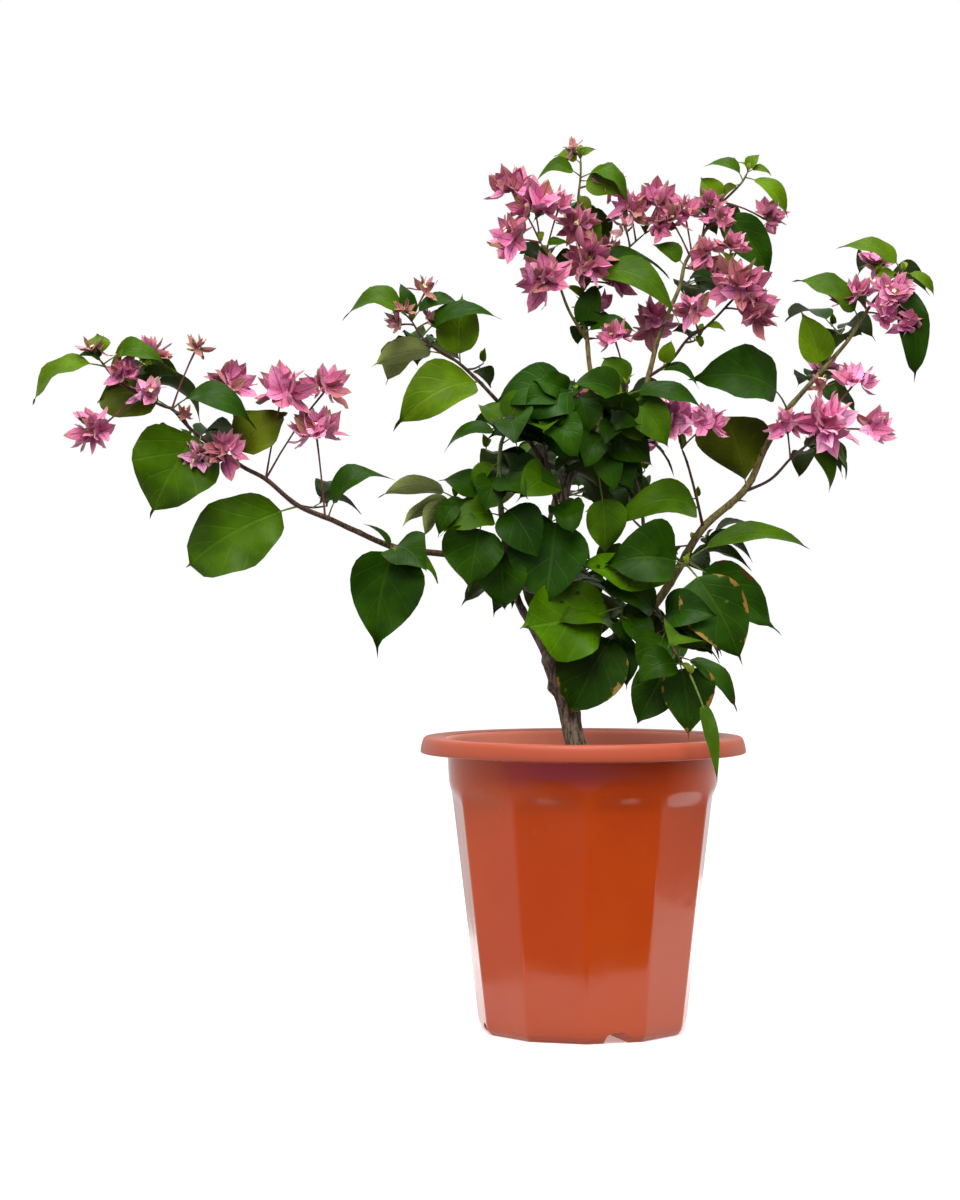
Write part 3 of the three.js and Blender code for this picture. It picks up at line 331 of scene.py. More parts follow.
# %% [markdown]
# ## The plant's plan
#
# These tables are a bush written down: where each limb runs, and where each leaf and flower head
# sits by its place on the stem, the way it points and its size. The frame's solids were grown
# from the same rows, give or take a few millimetres, so what grows here stays where they are.
# Corners are in millimetres and angles in degrees. Radii are those of the thick and the thin end.
# A leaf is [place on the stem, turn, pitch, reach, face, width share, arch share]. A flower head
# is [place, turn, pitch, stalk, diameter]. Rear is what grows on the far side by rule: [twigs,
# leaves on each, reach, heads], and the turns that its twigs lie between if they aren't the usual.

# %% Write down the limbs
LIMBS = [
    {
        "name": "trunk", "radii": [8.6, 7.2], "flare": 2.6, "knots": [[71, 90, 3.2], [46, 250, 1.6]],
        "points": [[0, 0, 206.3], [-6, 0, 228], [-13, 0, 259], [-22, 0, 285], [-30, 0, 304]],
    },
    {
        "name": "leader", "radii": [4.2, 3.4],
        "points": [
            [-29, 0, 302], [-27, 0, 331], [-22, 2, 367], [-17, 4, 403], [-12, 6, 437], [4, 6, 462],
            [15, 6, 480],
        ],
    },
    {
        "name": "left_stem", "radii": [3.4, 2.6],
        "points": [[-29, -1, 300], [-43, -5, 325], [-53, -9, 345], [-60, -13, 375], [-65, -16, 407]],
    },
    {
        "name": "right_bough", "radii": [4.4, 2.3],
        "points": [
            [-27, 0, 296], [6, 6, 303], [34, 10, 317], [59, 16, 340], [77, 20, 367], [98, 24, 401],
            [132, 28, 432], [149, 32, 466], [167, 36, 497],
        ],
    },
    {
        "name": "left_arm", "radii": [2.9, 2.1],
        "points": [
            [-61, -13, 376], [-86, -20, 378], [-114, -26, 380], [-150, -32, 385], [-181, -38, 398],
            [-198, -41, 406],
        ],
    },
    {
        "name": "upper_left_bough", "radii": [2.2, 1.5],
        "points": [[-15, 5, 419], [-30, 14, 451], [-49, 18, 480], [-66, 14, 500], [-82, 6, 517]],
    },
    {
        "name": "centre_bough", "radii": [2.5, 1.6],
        "points": [[15, 6, 480], [12, 10, 505], [6, 14, 530], [4, 18, 552], [1, 21, 580]],
    },
    {
        "name": "right_centre_bough", "radii": [2.7, 2],
        "points": [[2, 6, 459], [21, 4, 460], [36, 4, 471], [46, 8, 497], [54, 12, 526], [60, 16, 550]],
    },
    {
        "name": "rear_bough", "radii": [2.8, 2],
        "points": [[-22, 2, 368], [-26, 30, 385], [-26, 62, 402], [-22, 88, 420]],
    },
    {
        "name": "rear_right_bough", "radii": [2.8, 2],
        "points": [[34, 10, 317], [42, 40, 338], [48, 68, 360], [52, 90, 384]],
    },
]

# %% Write down the masses of foliage
MASSES = [
    {
        "name": "left_arm_spray", "radii": [2.1, 0.9],
        "points": [
            [-198, -41, 406], [-226, -46, 418], [-250, -50, 438], [-270, -53, 449], [-305, -56, 474],
            [-322, -58, 492], [-332, -60, 496], [-362, -62, 512], [-379, -62, 531],
        ],
        "leaves": [
            [0.02, 5, 27, 62, 35, 0.5, 0.3], [0.13, 187, -28, 101, 76, 0.7, 0.07],
            [0.57, 196, -61, 76, 80, 1.08, 0.03], [0.69, 345, -14, 70, 45, 0.45, 0.3],
            [0.4, 20, 43, 58, 60, 0.8, 0.14], [0.97, 180, -25, 64, 40, 0.42, 0.22],
            [1, 120, 65, 24, 60, 0.9, 0.1], [0.98, 180, 15, 24, 40, 0.35, 0.1],
            [0.92, 300, 60, 27, 70, 0.32, 0.1], [0.98, 8, -6, 53, 45, 0.5, 0.3],
            [0.88, 40, 30, 32, 60, 0.7, 0.1], [0.7, 160, 5, 66, 70, 0.84, 0.04],
        ],
        "heads": [
            [0.87, 270, 45, 9, 36], [0.8, 194, -38, 44, 42], [0.77, 270, 20, 9, 32], [1, 180, 60, 5, 30],
            [0.69, 0, 68, 49, 28], [0.39, 160, 84, 58, 46], [0.42, 250, 15, 11, 40], [0.6, 200, 60, 9, 22],
            [0.5, 210, -45, 14, 32], [0.28, 0, 79, 66, 50], [0.28, 13, 56, 82, 42], [0.03, 180, 84, 63, 48],
        ],
        "rear": [3, 2, 52, 1],
    },
    {
        "name": "left_arm_leaves", "radii": [1.5, 1],
        "points": [[-152, -33, 385], [-151, -43, 380], [-149, -51, 373]],
        "leaves": [
            [0.3, 208, -76, 86, 85, 0.8, 0.04], [0.1, 305, -22, 48, 70, 0.9, 0.08],
            [0.7, 10, -30, 42, 40, 0.4, 0.12], [0.4, 180, 46, 32, 40, 0.22, 0.1],
        ],
    },
    {
        "name": "left_crown", "radii": [2.4, 1.3],
        "points": [[-65, -16, 407], [-67, -18, 434], [-66, -22, 465], [-60, -24, 480]],
        "leaves": [
            [0.15, 330, -48, 54, 80, 0.85, 0.08], [0.04, 275, -82, 76, 82, 0.62, 0.0],
            [0.6, 190, -42, 30, 50, 0.6, 0.1], [0.8, 10, 5, 46, 60, 0.5, 0.12],
            [0.4, 345, -13, 56, 60, 0.45, 0.12], [0.95, 350, -20, 32, 60, 0.7, 0.1],
            [1, 25, 62, 38, 60, 0.8, 0.1], [0.9, 182, -15, 50, 35, 0.42, 0.25],
            [0.9, 120, 30, 48, 20, 0.6, 0.1],
        ],
        "twigs": [{
            "at": 0.2, "turn": 188, "pitch": 3, "length": 36,
            "leaves": [
                [1, 180, -1, 62, -50, 0.36, 0.08], [0.9, 195, -44, 46, -30, 0.6, 0.08],
                [0.95, 190, -25, 50, -30, 0.5, 0.06], [0.95, 215, -58, 36, 60, 0.6, 0.1],
                [0.6, 215, -45, 34, 75, 0.95, 0.05], [0.4, 172, 24, 40, 45, 0.8, 0.12],
                [0.3, 235, -72, 76, 85, 0.76, 0.03],
            ],
        }],
        "rear": [2, 4, 52, 0],
    },
    {
        "name": "upper_left_spray", "radii": [1.5, 0.8],
        "points": [[-82, 6, 517], [-100, 0, 533], [-114, 0, 541], [-128, -2, 552], [-137, -2, 566]],
        "leaves": [
            [0.02, 192, -31, 80, 60, 0.7, 0.2], [0.3, 120, 84, 58, 80, 0.7, 0.04],
            [0.52, 180, -15, 58, -55, 0.5, 0.2], [1, 180, 2, 56, 45, 0.5, 0.34],
            [1, 180, 76, 33, 50, 0.5, 0.1], [1, 15, 18, 46, 45, 0.42, 0.3],
            [0.8, 355, 12, 67, 45, 0.36, 0.22],
        ],
        "heads": [[0.95, 190, 0, 11, 30], [0.9, 0, 30, 11, 27], [1, 0, 65, 24, 30], [1, 230, 30, 10, 24]],
        "rear": [2, 3, 46, 1],
    },
    {
        "name": "core_left", "radii": [1.9, 1.2],
        "points": [[-17, 4, 404], [-25, -10, 434], [-31, -18, 462], [-31, -20, 490], [-4, -16, 508]],
        "leaves": [
            [1, 175, -8, 68, 60, 0.7, 0.2], [1, 205, -24, 56, 75, 0.82, 0.1],
            [1, 310, -70, 36, 70, 0.9, 0.08], [0.7, 325, -52, 42, 70, 0.62, 0.1],
            [0.5, 355, -15, 36, 50, 0.42, 0.1], [0.1, 250, -72, 82, 85, 0.92, 0.03],
            [0.15, 320, -35, 26, 60, 0.8, 0.1], [0.35, 200, -20, 40, 60, 0.7, 0.1],
            [0.6, 195, -5, 48, 50, 0.6, 0.12], [0.85, 20, 30, 30, 50, 0.7, 0.1],
        ],
        "rear": [2, 3, 50, 0],
    },
    {
        "name": "core_right", "radii": [1.8, 1.1],
        "points": [[7, 6, 467], [23, -12, 477], [30, -18, 494], [35, -16, 512]],
        "leaves": [
            [1, 165, 55, 32, 80, 0.9, 0.06], [0.9, 190, 10, 24, 60, 0.6, 0.1],
            [0.7, 330, -48, 33, 85, 0.9, 0.05], [0.9, 355, -14, 66, 50, 0.36, 0.22],
            [0.2, 345, -24, 48, 70, 0.9, 0.08], [0.25, 15, -22, 66, 30, 0.3, 0.12],
            [0.1, 320, -52, 54, 75, 0.8, 0.06], [0.2, 285, -60, 50, 75, 0.6, 0.06],
            [0.5, 250, -30, 34, 60, 0.7, 0.1], [0.02, 312, -78, 92, 82, 0.42, 0.03],
        ],
        "heads": [[1, 170, 75, 38, 34]],
        "rear": [2, 3, 52, 0],
    },
    {
        "name": "centre_left_spray", "radii": [1.3, 0.8],
        "points": [[3, 18, 553], [-12, 6, 577], [-25, 0, 613], [-34, -6, 628]],
        "leaves": [
            [0.06, 10, 68, 42, 70, 0.6, 0.06], [0.06, 350, 3, 44, 50, 0.45, 0.2],
            [0.95, 15, 8, 22, 50, 0.5, 0.1],
        ],
        "heads": [
            [1, 190, 80, 24, 52], [1, 170, 61, 46, 42], [1, 205, 3, 22, 42], [0.9, 30, 72, 35, 34],
            [0.55, 215, 10, 12, 50],
        ],
        "rear": [2, 3, 38, 1],
    },
    {
        "name": "centre_spray", "radii": [1.6, 0.8],
        "points": [
            [1, 21, 580], [0, 24, 598], [-2, 25, 616], [-3, 27, 646], [-3, 28, 666], [-1, 28, 686],
            [-1, 28, 700],
        ],
        "leaves": [
            [0.03, 180, 45, 20, 50, 0.45, 0.1], [0.03, 0, 40, 22, 50, 0.32, 0.1],
            [0.19, 345, -23, 92, 50, 0.4, 0.14], [0.19, 15, 2, 74, 40, 0.26, 0.25],
            [0.88, 180, -7, 38, 50, 0.5, 0.3], [0.97, 165, 15, 24, 50, 0.6, 0.1],
            [0.87, 355, -23, 45, 45, 0.48, 0.34], [1, 0, 35, 15, 50, 0.7, 0.1],
            [0.85, 345, -18, 38, 80, 0.8, 0.06], [0.76, 320, -58, 22, 60, 0.5, 0.1],
            [0.62, 0, -54, 32, 50, 0.6, 0.1],
        ],
        "heads": [
            [0.5, 260, 10, 9, 38], [0.3, 290, -10, 14, 50], [0.16, 25, 0, 26, 42], [0.8, 15, 8, 22, 34],
            [1, 180, 50, 6, 24],
        ],
        "twigs": [{
            "at": 0.17, "turn": 12, "pitch": 37, "length": 66,
            "heads": [
                [0.85, 180, 80, 24, 38], [1, 15, 65, 24, 42], [1, 320, 15, 13, 34], [0.75, 250, 50, 14, 30],
            ],
        }],
        "rear": [2, 3, 46, 1],
    },
    {
        "name": "right_centre_spray", "radii": [1.9, 0.8],
        "points": [
            [60, 16, 550], [69, 20, 573], [79, 24, 596], [84, 28, 616], [97, 32, 636], [110, 34, 660],
            [129, 36, 680], [135, 36, 690],
        ],
        "leaves": [
            [0.95, 180, 27, 34, 45, 0.42, 0.25], [1, 0, 55, 18, 50, 0.7, 0.1],
            [1, 5, -10, 20, 50, 0.5, 0.15], [0.97, 355, -44, 48, 50, 0.4, 0.16],
            [0.78, 180, 50, 28, 80, 0.95, 0.05], [0.93, 190, -42, 26, 40, 0.42, 0.1],
            [0.76, 355, -54, 72, 72, 0.56, 0.06], [0.42, 172, 33, 32, 60, 0.6, 0.12],
        ],
        "heads": [
            [0.5, 170, 80, 28, 36], [0.6, 0, 80, 23, 32], [0.62, 330, 35, 13, 32], [0.8, 12, -20, 38, 34],
            [0.06, 100, 10, 16, 46], [0.48, 200, 60, 30, 32],
        ],
        "rear": [2, 3, 46, 1],
    },
    {
        "name": "right_centre_blooms", "radii": [1.3, 0.8],
        "points": [
            [53, 11, 522], [70, 4, 534], [84, -4, 552], [97, -8, 560], [113, -10, 576], [123, -8, 590],
            [116, -6, 610],
        ],
        "leaves": [
            [0.06, 345, -20, 38, 40, 0.4, 0.12], [0.12, 330, 75, 23, 70, 0.7, 0.1],
            [0.5, 335, -15, 18, 50, 0.5, 0.1], [0.42, 0, -60, 13, 50, 0.6, 0.1],
        ],
        "heads": [
            [1, 180, 25, 16, 36], [1, 60, 70, 11, 34], [0.83, 270, 0, 9, 50], [0.68, 345, -12, 20, 46],
            [0.45, 205, 70, 15, 38],
        ],
        "rear": [1, 3, 36, 1],
    },
    {
        "name": "right_inner_bloom", "radii": [1.3, 0.9],
        "points": [[98, 24, 400], [92, 10, 423], [84, 2, 451], [79, 0, 464]],
        "leaves": [[0.28, 193, -13, 78, 60, 0.5, 0.27]],
        "heads": [[1, 205, 72, 18, 54], [1, 345, 42, 24, 40]],
    },
    {
        "name": "right_outer_spray", "radii": [1.3, 0.9],
        "points": [[131, 28, 430], [152, 20, 440], [168, 14, 457], [180, 8, 467], [191, 0, 477]],
        "leaves": [
            [0.03, 180, 79, 62, -56, 1.14, 0.04], [0.8, 20, -57, 44, 40, 0.5, 0.1],
            [0.9, 30, -42, 46, 40, 0.36, 0.12],
        ],
        "heads": [
            [0.58, 190, 84, 22, 38], [1, 280, 20, 7, 54], [1, 15, 3, 40, 42], [1, 20, 54, 46, 38],
            [0.95, 60, 80, 38, 28],
        ],
        "rear": [1, 3, 40, 1],
    },
    {
        "name": "right_tip_spray", "radii": [2.2, 0.9],
        "points": [
            [167, 36, 497], [192, 40, 525], [216, 44, 552], [227, 46, 569], [240, 46, 588], [252, 45, 600],
            [262, 44, 609],
        ],
        "leaves": [
            [0.0, 195, 13, 87, 68, 0.62, 0.35], [0.28, 188, 74, 54, 75, 0.64, 0.06],
            [0.28, 20, 50, 44, -40, 0.5, 0.1], [0.64, 186, 31, 64, 50, 0.5, 0.24],
            [1, 180, 24, 58, 50, 0.38, 0.2], [0.97, 200, -15, 24, 50, 0.6, 0.1],
            [1, 0, -38, 33, 50, 0.42, 0.24], [0.98, 333, -76, 88, 78, 0.34, 0.05],
        ],
        "heads": [
            [0.72, 205, 40, 13, 40], [0.85, 290, -20, 13, 42], [0.9, 335, -68, 34, 34],
            [0.7, 325, -10, 15, 34],
        ],
        "rear": [3, 2, 52, 1],
    },
    {
        "name": "right_shoulder_leaves", "radii": [1.6, 1.1],
        "points": [[86, 21, 379], [86, 10, 377], [84, -4, 374], [82, -14, 370]],
        "leaves": [
            [0.95, 198, -1, 94, 66, 0.46, -0.11], [0.98, 186, 3, 71, 72, 0.86, 0.2],
            [0.35, 0, 4, 98, 34, 0.36, 0.08], [0.35, 20, -8, 54, -30, 0.32, 0.1],
            [0.95, 328, -59, 92, 80, 0.66, 0.03], [0.7, 4, -34, 96, 72, 0.46, 0.02],
        ],
        "rear": [2, 3, 50, 0],
    },
    {
        "name": "right_low_leaves", "radii": [1.6, 0.9],
        "points": [[59, 15, 339], [64, -14, 322], [70, -44, 304], [80, -84, 286]],
        "leaves": [
            [0.2, 200, 26, 66, 62, 0.5, 0.08], [0.2, 318, 2, 56, 75, 0.72, 0.16],
            [0.32, 345, -25, 38, 50, 0.5, 0.1], [0.36, 240, -50, 56, 80, 0.85, 0.05],
            [0.55, 10, -15, 42, 40, 0.24, 0.1], [0.7, 345, -44, 64, 40, 0.34, 0.12],
            [0.66, 206, -60, 66, 74, 0.68, 0.02], [0.72, 308, -75, 66, 80, 0.74, 0.03],
            [1, 306, -64, 92, 62, 0.15, 0.05],
        ],
        "rear": [1, 3, 44, 0],
    },
    {
        "name": "low_front_leaves", "radii": [1.6, 1],
        "points": [[24, 9, 312], [30, -8, 328], [31, -18, 341]],
        "leaves": [
            [0.9, 200, -12, 88, 82, 0.86, -0.1], [0.35, 206, -60, 84, 82, 0.8, 0.02],
            [0.3, 300, -72, 52, 70, 0.6, 0.06], [0.6, 290, -50, 26, 70, 0.9, 0.06],
            [0.98, 150, 62, 34, 60, 0.5, 0.08],
        ],
        "rear": [1, 4, 50, 0],
    },
    {
        "name": "rear_spray", "radii": [1.9, 0.9],
        "points": [[-22, 88, 420], [-16, 110, 442], [-10, 128, 466], [-2, 138, 492]],
        "heads": [[1, 90, 70, 16, 40], [0.8, 130, 40, 26, 40]],
        "rear": [5, 3, 66, 1, 0, 180],
    },
    {
        "name": "rear_right_spray", "radii": [1.9, 0.9],
        "points": [[52, 90, 384], [54, 108, 404], [52, 124, 430], [46, 134, 452]],
        "heads": [[1, 60, 60, 18, 40]],
        "rear": [5, 3, 64, 1, -10, 170],
    },
    {
        "name": "rear_low_leaves", "radii": [1.8, 0.9],
        "points": [[-26, 1, 340], [-34, 22, 346], [-40, 46, 350], [-44, 66, 356]],
        "rear": [3, 3, 62, 0, 30, 170],
    },
]

# %% [markdown]
# ## Lines and frames
#
# A limb runs through its corners as one smooth line. A Catmull-Rom line is used, because it passes
# through every corner and needs no handles. A leaf needs three directions: along it, across it,
# and out of its upper face.


# %% Define the lines
CUTS = 24
UP = np.array([0, 0, 1.0])


def smooth_line(points, step):
    """Between two corners runs a cubic whose slope at each corner is half of the step between
    that corner's neighbours. The line is then cut into parts of equal length."""
    corners = np.array(points, float)
    ends = np.vstack([2 * corners[0] - corners[1], corners, 2 * corners[-1] - corners[-2]])
    before, start, end, after = ends[:-3], ends[1:-2], ends[2:-1], ends[3:]
    lead, tail, rise = (end - before) / 2, (after - start) / 2, end - start
    t = np.linspace(0, 1, CUTS, endpoint=False)[:, None, None]
    cubic = start + lead * t + (3 * rise - 2 * lead - tail) * t**2 + (lead + tail - 2 * rise) * t**3
    fine = np.vstack([cubic.transpose(1, 0, 2).reshape(-1, 3), corners[-1:]])
    run = np.concatenate([[0], np.cumsum(np.linalg.norm(np.diff(fine, axis=0), axis=1))])
    places = np.linspace(0, run[-1], max(2, round(run[-1] / step)) + 1)
    return np.stack([np.interp(places, run, fine[:, axis]) for axis in range(3)], axis=1)


def point_on(line, share):
    """The point at a share from 0 to 1 of the line's length."""
    place = np.clip(share, 0, 1) * (len(line) - 1)
    return np.stack([np.interp(place, np.arange(len(line)), line[:, axis]) for axis in range(3)], axis=-1)


def unit(vectors):
    """Each vector divided by its length."""
    return vectors / np.maximum(np.linalg.norm(vectors, axis=-1, keepdims=True), 1e-9)


def heading(turn, pitch):
    """A direction from its turn round the upright axis and its pitch above level, in degrees."""
    turn, pitch = np.radians(turn), np.radians(pitch)
    return np.stack([np.cos(pitch) * np.cos(turn), np.cos(pitch) * np.sin(turn), np.sin(pitch)], axis=-1)


def upright(along):
    """The upward direction less its part along each direction."""
    return UP - along * along[:, 2:]


def blade_frame(along, face):
    """Across and out for blades: out is the upward direction tipped towards the viewer by the
    face angle, less its part along the blade, and across is square to both."""
    face = np.radians(face)
    wanted = np.stack([0 * face, -np.sin(face), np.cos(face)], axis=-1)
    out = wanted - along * np.sum(wanted * along, axis=-1, keepdims=True)
    spare = np.stack([0 * face, -along[:, 2], along[:, 1]], axis=-1)
    out = unit(np.where(np.linalg.norm(out, axis=-1, keepdims=True) < 0.05, spare, out))
    return np.cross(out, along), out


print("a level heading to the right is", heading(0.0, 0.0))

# %% [markdown]
# ## Growing the plan
#
# Each mass of foliage starts with its stem. Its own leaves and heads come from the table, and its
# far side, which the viewer doesn't see, is filled by one rule from the mass's seed, so the crown
# is full from every side. A real crown has gaps in which the sky shows. What grows by rule is left
# out where it would close one of them. Everything that grows is noted in three lists first. The
# surfaces come later, all of one kind at once.

# %% Name the leaves that have a green or a shape of their own
OWN_GREENS = {
    "left_arm_spray": {
        0: "dark", 1: "mid", 2: "mid", 3: "dark", 4: "olive", 5: "fresh", 8: "young", 11: "olive",
    },
    "left_arm_leaves": {0: "dark", 1: "dark"},
    "left_crown": {0: "bluish", 1: "dark", 7: "dark"},
    "upper_left_spray": {0: "fresh", 1: "fresh", 3: "mid", 5: "dark", 6: "dark"},
    "core_left": {0: "bluish", 1: "bluish", 5: "bluish", 7: "deep"},
    "core_right": {0: "mid", 1: "young", 2: "mid", 3: "dark", 9: "mid"},
    "centre_left_spray": {0: "dark", 1: "dark"},
    "centre_spray": {2: "mid", 3: "dark", 4: "mid", 6: "mid", 8: "fresh", 9: "olive"},
    "right_centre_spray": {0: "mid", 3: "fresh", 4: "fresh", 5: "olive", 6: "dark", 7: "mid"},
    "right_inner_bloom": {0: "mid"},
    "right_tip_spray": {0: "dark", 1: "fresh", 2: "olive", 3: "mid", 4: "fresh", 7: "dark"},
    "right_shoulder_leaves": {0: "limespot", 1: "dark", 2: "mid", 4: "brownspot", 5: "browntip"},
    "right_low_leaves": {
        0: "dark", 1: "bluish", 2: "deep", 3: "dark", 4: "deep", 5: "browntip", 6: "dark",
        7: "brownspot", 8: "mid",
    },
    "low_front_leaves": {0: "limespot", 1: "brownspot", 2: "browntip", 4: "fresh"},
}
OWN_SHAPES = {
    "left_arm_spray": {
        1: {"lift": 0.05, "lean": 0.08, "fold": 0.16, "tip": 0.5, "point": 0.05, "bend": 0.0, "droop": 0.05},
        2: {"start": 0.03, "lift": 0.05, "fold": 0.3, "lean": 0.0, "bend": 0.0, "droop": 0.05, "twist": 0.2},
    },
    "left_arm_leaves": {0: {"start": 0.01, "fold": 0.34, "tip": 0.95, "point": 0.13, "twist": 0.3}},
    "left_crown": {1: {"start": 0.44}},
    "upper_left_spray": {0: {"start": 0.04, "tip": 0.9}},
    "core_right": {9: {"start": 0.5}},
    "right_inner_bloom": {0: {"start": 0.03, "base": 0.36}},
    "right_tip_spray": {0: {"start": 0.22}},
    "right_outer_spray": {0: {"base": 1.15, "tip": 0.4, "point": 0.03, "fold": 0.4, "lean": -0.05}},
    "right_shoulder_leaves": {
        0: {"lift": 0.0, "wave": 0.24, "waves": 1.6}, 2: {"base": 0.66, "tip": 0.5}, 5: {"lift": 0.0},
    },
    "right_low_leaves": {8: {"start": 0.3, "bend": -0.06, "tip": 1.1}},
    "low_front_leaves": {0: {"lift": 0.0, "wave": 0.34, "waves": 1.7, "tip": 0.5}},
}
OPEN_SKY = [
    (44, 100, 436, 462), (57, 100, 374, 440), (92, 152, 460, 512), (-94, -46, 524, 566),
    (-146, -66, 448, 470), (-236, -202, 412, 446), (98, 170, 402, 430), (84, 120, 320, 340),
    (90, 120, 538, 560),
]
print(sum(len(own) for own in OWN_GREENS.values()), "leaves have a green of their own")
print(len(OPEN_SKY), "gaps for the sky: left, right, low and high in millimetres, seen from the front")

# %% Grow the stems and note what they carry
FIRST_SEED, FILLING_SEED, FINER_SEED = 11, 50, 80
LEAF_SEED, BRACT_SEED, FLOWER_SEED, TIP_SEED, THORN_SEED = range(401, 406)
GOLDEN_SHARE = 0.618
FILLING = {"core_left": 9, "core_right": 7, "left_crown": 5, "right_low_leaves": 4, "low_front_leaves": 2}
SMALL_FILLING, MAIN_STEM = 52, 1.05
LONG_LEAF, LONG_STALK, TWIG_SAG, REAR_TURNS = 70, {"start": 0.32}, 0.04, (55, 125)
# The deep and dark greens of the twigs that grow by rule are partly painted shade.
REAR_TWIG_GREENS, REAR_HEAD, REAR_REACH = ("deep", "dark", "olive", "mid"), (55, 14, 36), 0.75
stems, leaf_notes, head_notes = [], [], []


def seeded(seed):
    """A generator of even random numbers that gives the same row for the same seed."""
    return np.random.default_rng(seed)


def golden(index, jitter, random):
    """Shares from 0 to 1 that lie far apart for successive indexes, and a little off by chance."""
    return (index * GOLDEN_SHARE + jitter * random.random()) % 1


def note_leaf(line, leaf, spray, green="", shape=None):
    """Note a leaf: its root, the values of its row in the table, and its own green and shape if it
    has them."""
    place, *values = leaf
    leaf_notes.append([*point_on(line, place), *values, spray, green, shape or {}])


def note_head(line, head, spray):
    """Note a head: its root and the values of its row in the table."""
    place, turn, pitch, stalk, diameter = head
    head_notes.append([*point_on(line, place), turn, pitch, stalk, diameter, spray])


def hides_sky(line, part):
    """True if a leaf or head on a line lies, as seen from the front, in a gap of OPEN_SKY. Three
    places along it are drawn towards the middle of the view by their distance from the viewer."""
    run = np.array([0.4, 0.7, 1.0])[:, None]
    places = point_on(line, part[0]) + heading(part[1], part[2]) * part[3] * run
    closer = VIEW_DISTANCE / (VIEW_DISTANCE + places[:, 1:2])
    x, z = (VIEW_CENTRE + (places[:, ::2] - VIEW_CENTRE) * closer).T[..., None]
    left, right, low, high = np.array(OPEN_SKY).T
    return np.any((x > left) & (x < right) & (z > low) & (z < high))


def grow_twig(line, twig, spray):
    """A side twig: a slightly sagging line with leaves and heads of its own. Only the twigs that
    grow by rule have a green, and leave the sky open."""
    start = point_on(line, twig["at"])
    end = start + heading(twig["turn"], twig["pitch"]) * twig["length"]
    middle = (start + end) / 2 - UP * TWIG_SAG * twig["length"]
    own_line = smooth_line([start, middle, end], 6)
    stems.append((own_line, (1.0, 0.7), spray))
    rear = "green" in twig
    for leaf in twig.get("leaves", []):
        if not (rear and hides_sky(own_line, leaf)):
            shape = LONG_STALK if leaf[3] > LONG_LEAF else None
            note_leaf(own_line, leaf, spray, twig.get("green", ""), shape)
    for head in twig.get("heads", []):
        if not (rear and hides_sky(own_line, head)):
            note_head(own_line, head, spray)


def rear_twigs(rear, random):
    """Side twigs by rule: even places along the stem, turns spread by the golden share between
    the lowest and the highest, and leaves spread round each twig in the same way."""
    count, leaf_count, reach, head_count, low, high = [*rear, *REAR_TURNS][:6]
    for index in range(count):
        turn = low + (high - low) * golden(index, 0.2, random)
        leaves = [
            [
                (number + 1) / leaf_count, turn - 70 + 140 * golden(number, 0.15, random),
                -35 + 55 * random.random(), reach * (REAR_REACH + 0.35 * random.random()),
                -40 * random.random(), 0.6 + 0.15 * random.random(), 0.08 + 0.1 * random.random(),
            ]
            for number in range(leaf_count)
        ]
        yield {
            "green": REAR_TWIG_GREENS[index % len(REAR_TWIG_GREENS)],
            "at": (index + 0.3 + 0.4 * random.random()) / count, "turn": turn,
            "pitch": -5 + 35 * random.random(), "length": reach * REAR_REACH, "leaves": leaves,
            "heads": [[1, turn, *REAR_HEAD]] if index % 2 == 0 and head_count > 0 else [],
        }


def finer_leaves(twig, reach, random):
    """Smaller leaves between the twig's own, so that the far side is as full as the near one."""
    for index in range(3):
        turn = twig["turn"] - 110 + 220 * golden(index, 0.3, random)
        yield [
            0.2 + 0.25 * index, turn, random.uniform(-45, 35), reach * random.uniform(0.5, 0.75),
            random.uniform(-50, 30), random.uniform(0.6, 0.8), random.uniform(0.06, 0.2),
        ]


def filling_leaves(number, random):
    """Small leaves by rule on the near side of a stem in the crowded middle."""
    for index in range(number):
        turn = 180 + 180 * golden(index, 0.2, random)
        reach = random.uniform(36, 56)
        yield [
            (index + random.random()) / number, turn, random.uniform(-60, 25), reach,
            random.uniform(45, 85), random.uniform(0.65, 0.9), random.uniform(0.05, 0.2),
        ]


def tip_leaves(random):
    """A pair of folded young leaves that stand at the end of a growing stem."""
    turn = 360 * random.random()
    for side in (0, 180):
        pitch, reach, face = random.uniform(45, 75), random.uniform(9, 15), random.uniform(20, 60)
        yield [1, turn + side, pitch, reach, face, 0.5, 0.15]


for spray, mass in enumerate(MASSES):
    line = smooth_line(mass["points"], 4)
    stems.append((line, mass["radii"], spray))
    seed = FIRST_SEED + spray
    own, forms = OWN_GREENS.get(mass["name"], {}), OWN_SHAPES.get(mass["name"], {})
    for index, leaf in enumerate(mass.get("leaves", [])):
        note_leaf(line, leaf, spray, own.get(index, ""), forms.get(index))
    for leaf in filling_leaves(FILLING.get(mass["name"], 0), seeded(seed + FILLING_SEED)):
        if not hides_sky(line, leaf):
            note_leaf(line, leaf, spray, "dark" if leaf[3] < SMALL_FILLING else "mid")
    for head in mass.get("heads", []):
        note_head(line, head, spray)
    twigs = mass.get("twigs", [])
    if "rear" in mass:
        own_random = seeded(seed + FINER_SEED)
        for twig in rear_twigs(mass["rear"], seeded(seed)):
            twig["leaves"] += finer_leaves(twig, mass["rear"][2], own_random)
            twigs = [*twigs, twig]
    for twig in twigs:
        grow_twig(line, twig, spray)
tip_random = seeded(TIP_SEED)
for line, radii, spray in stems:
    for leaf in tip_leaves(tip_random):
        note_leaf(line, leaf, spray, "young" if radii[0] > MAIN_STEM else "fresh")
print(len(stems), "stems,", len(leaf_notes), "leaves and", len(head_notes), "flower heads noted")

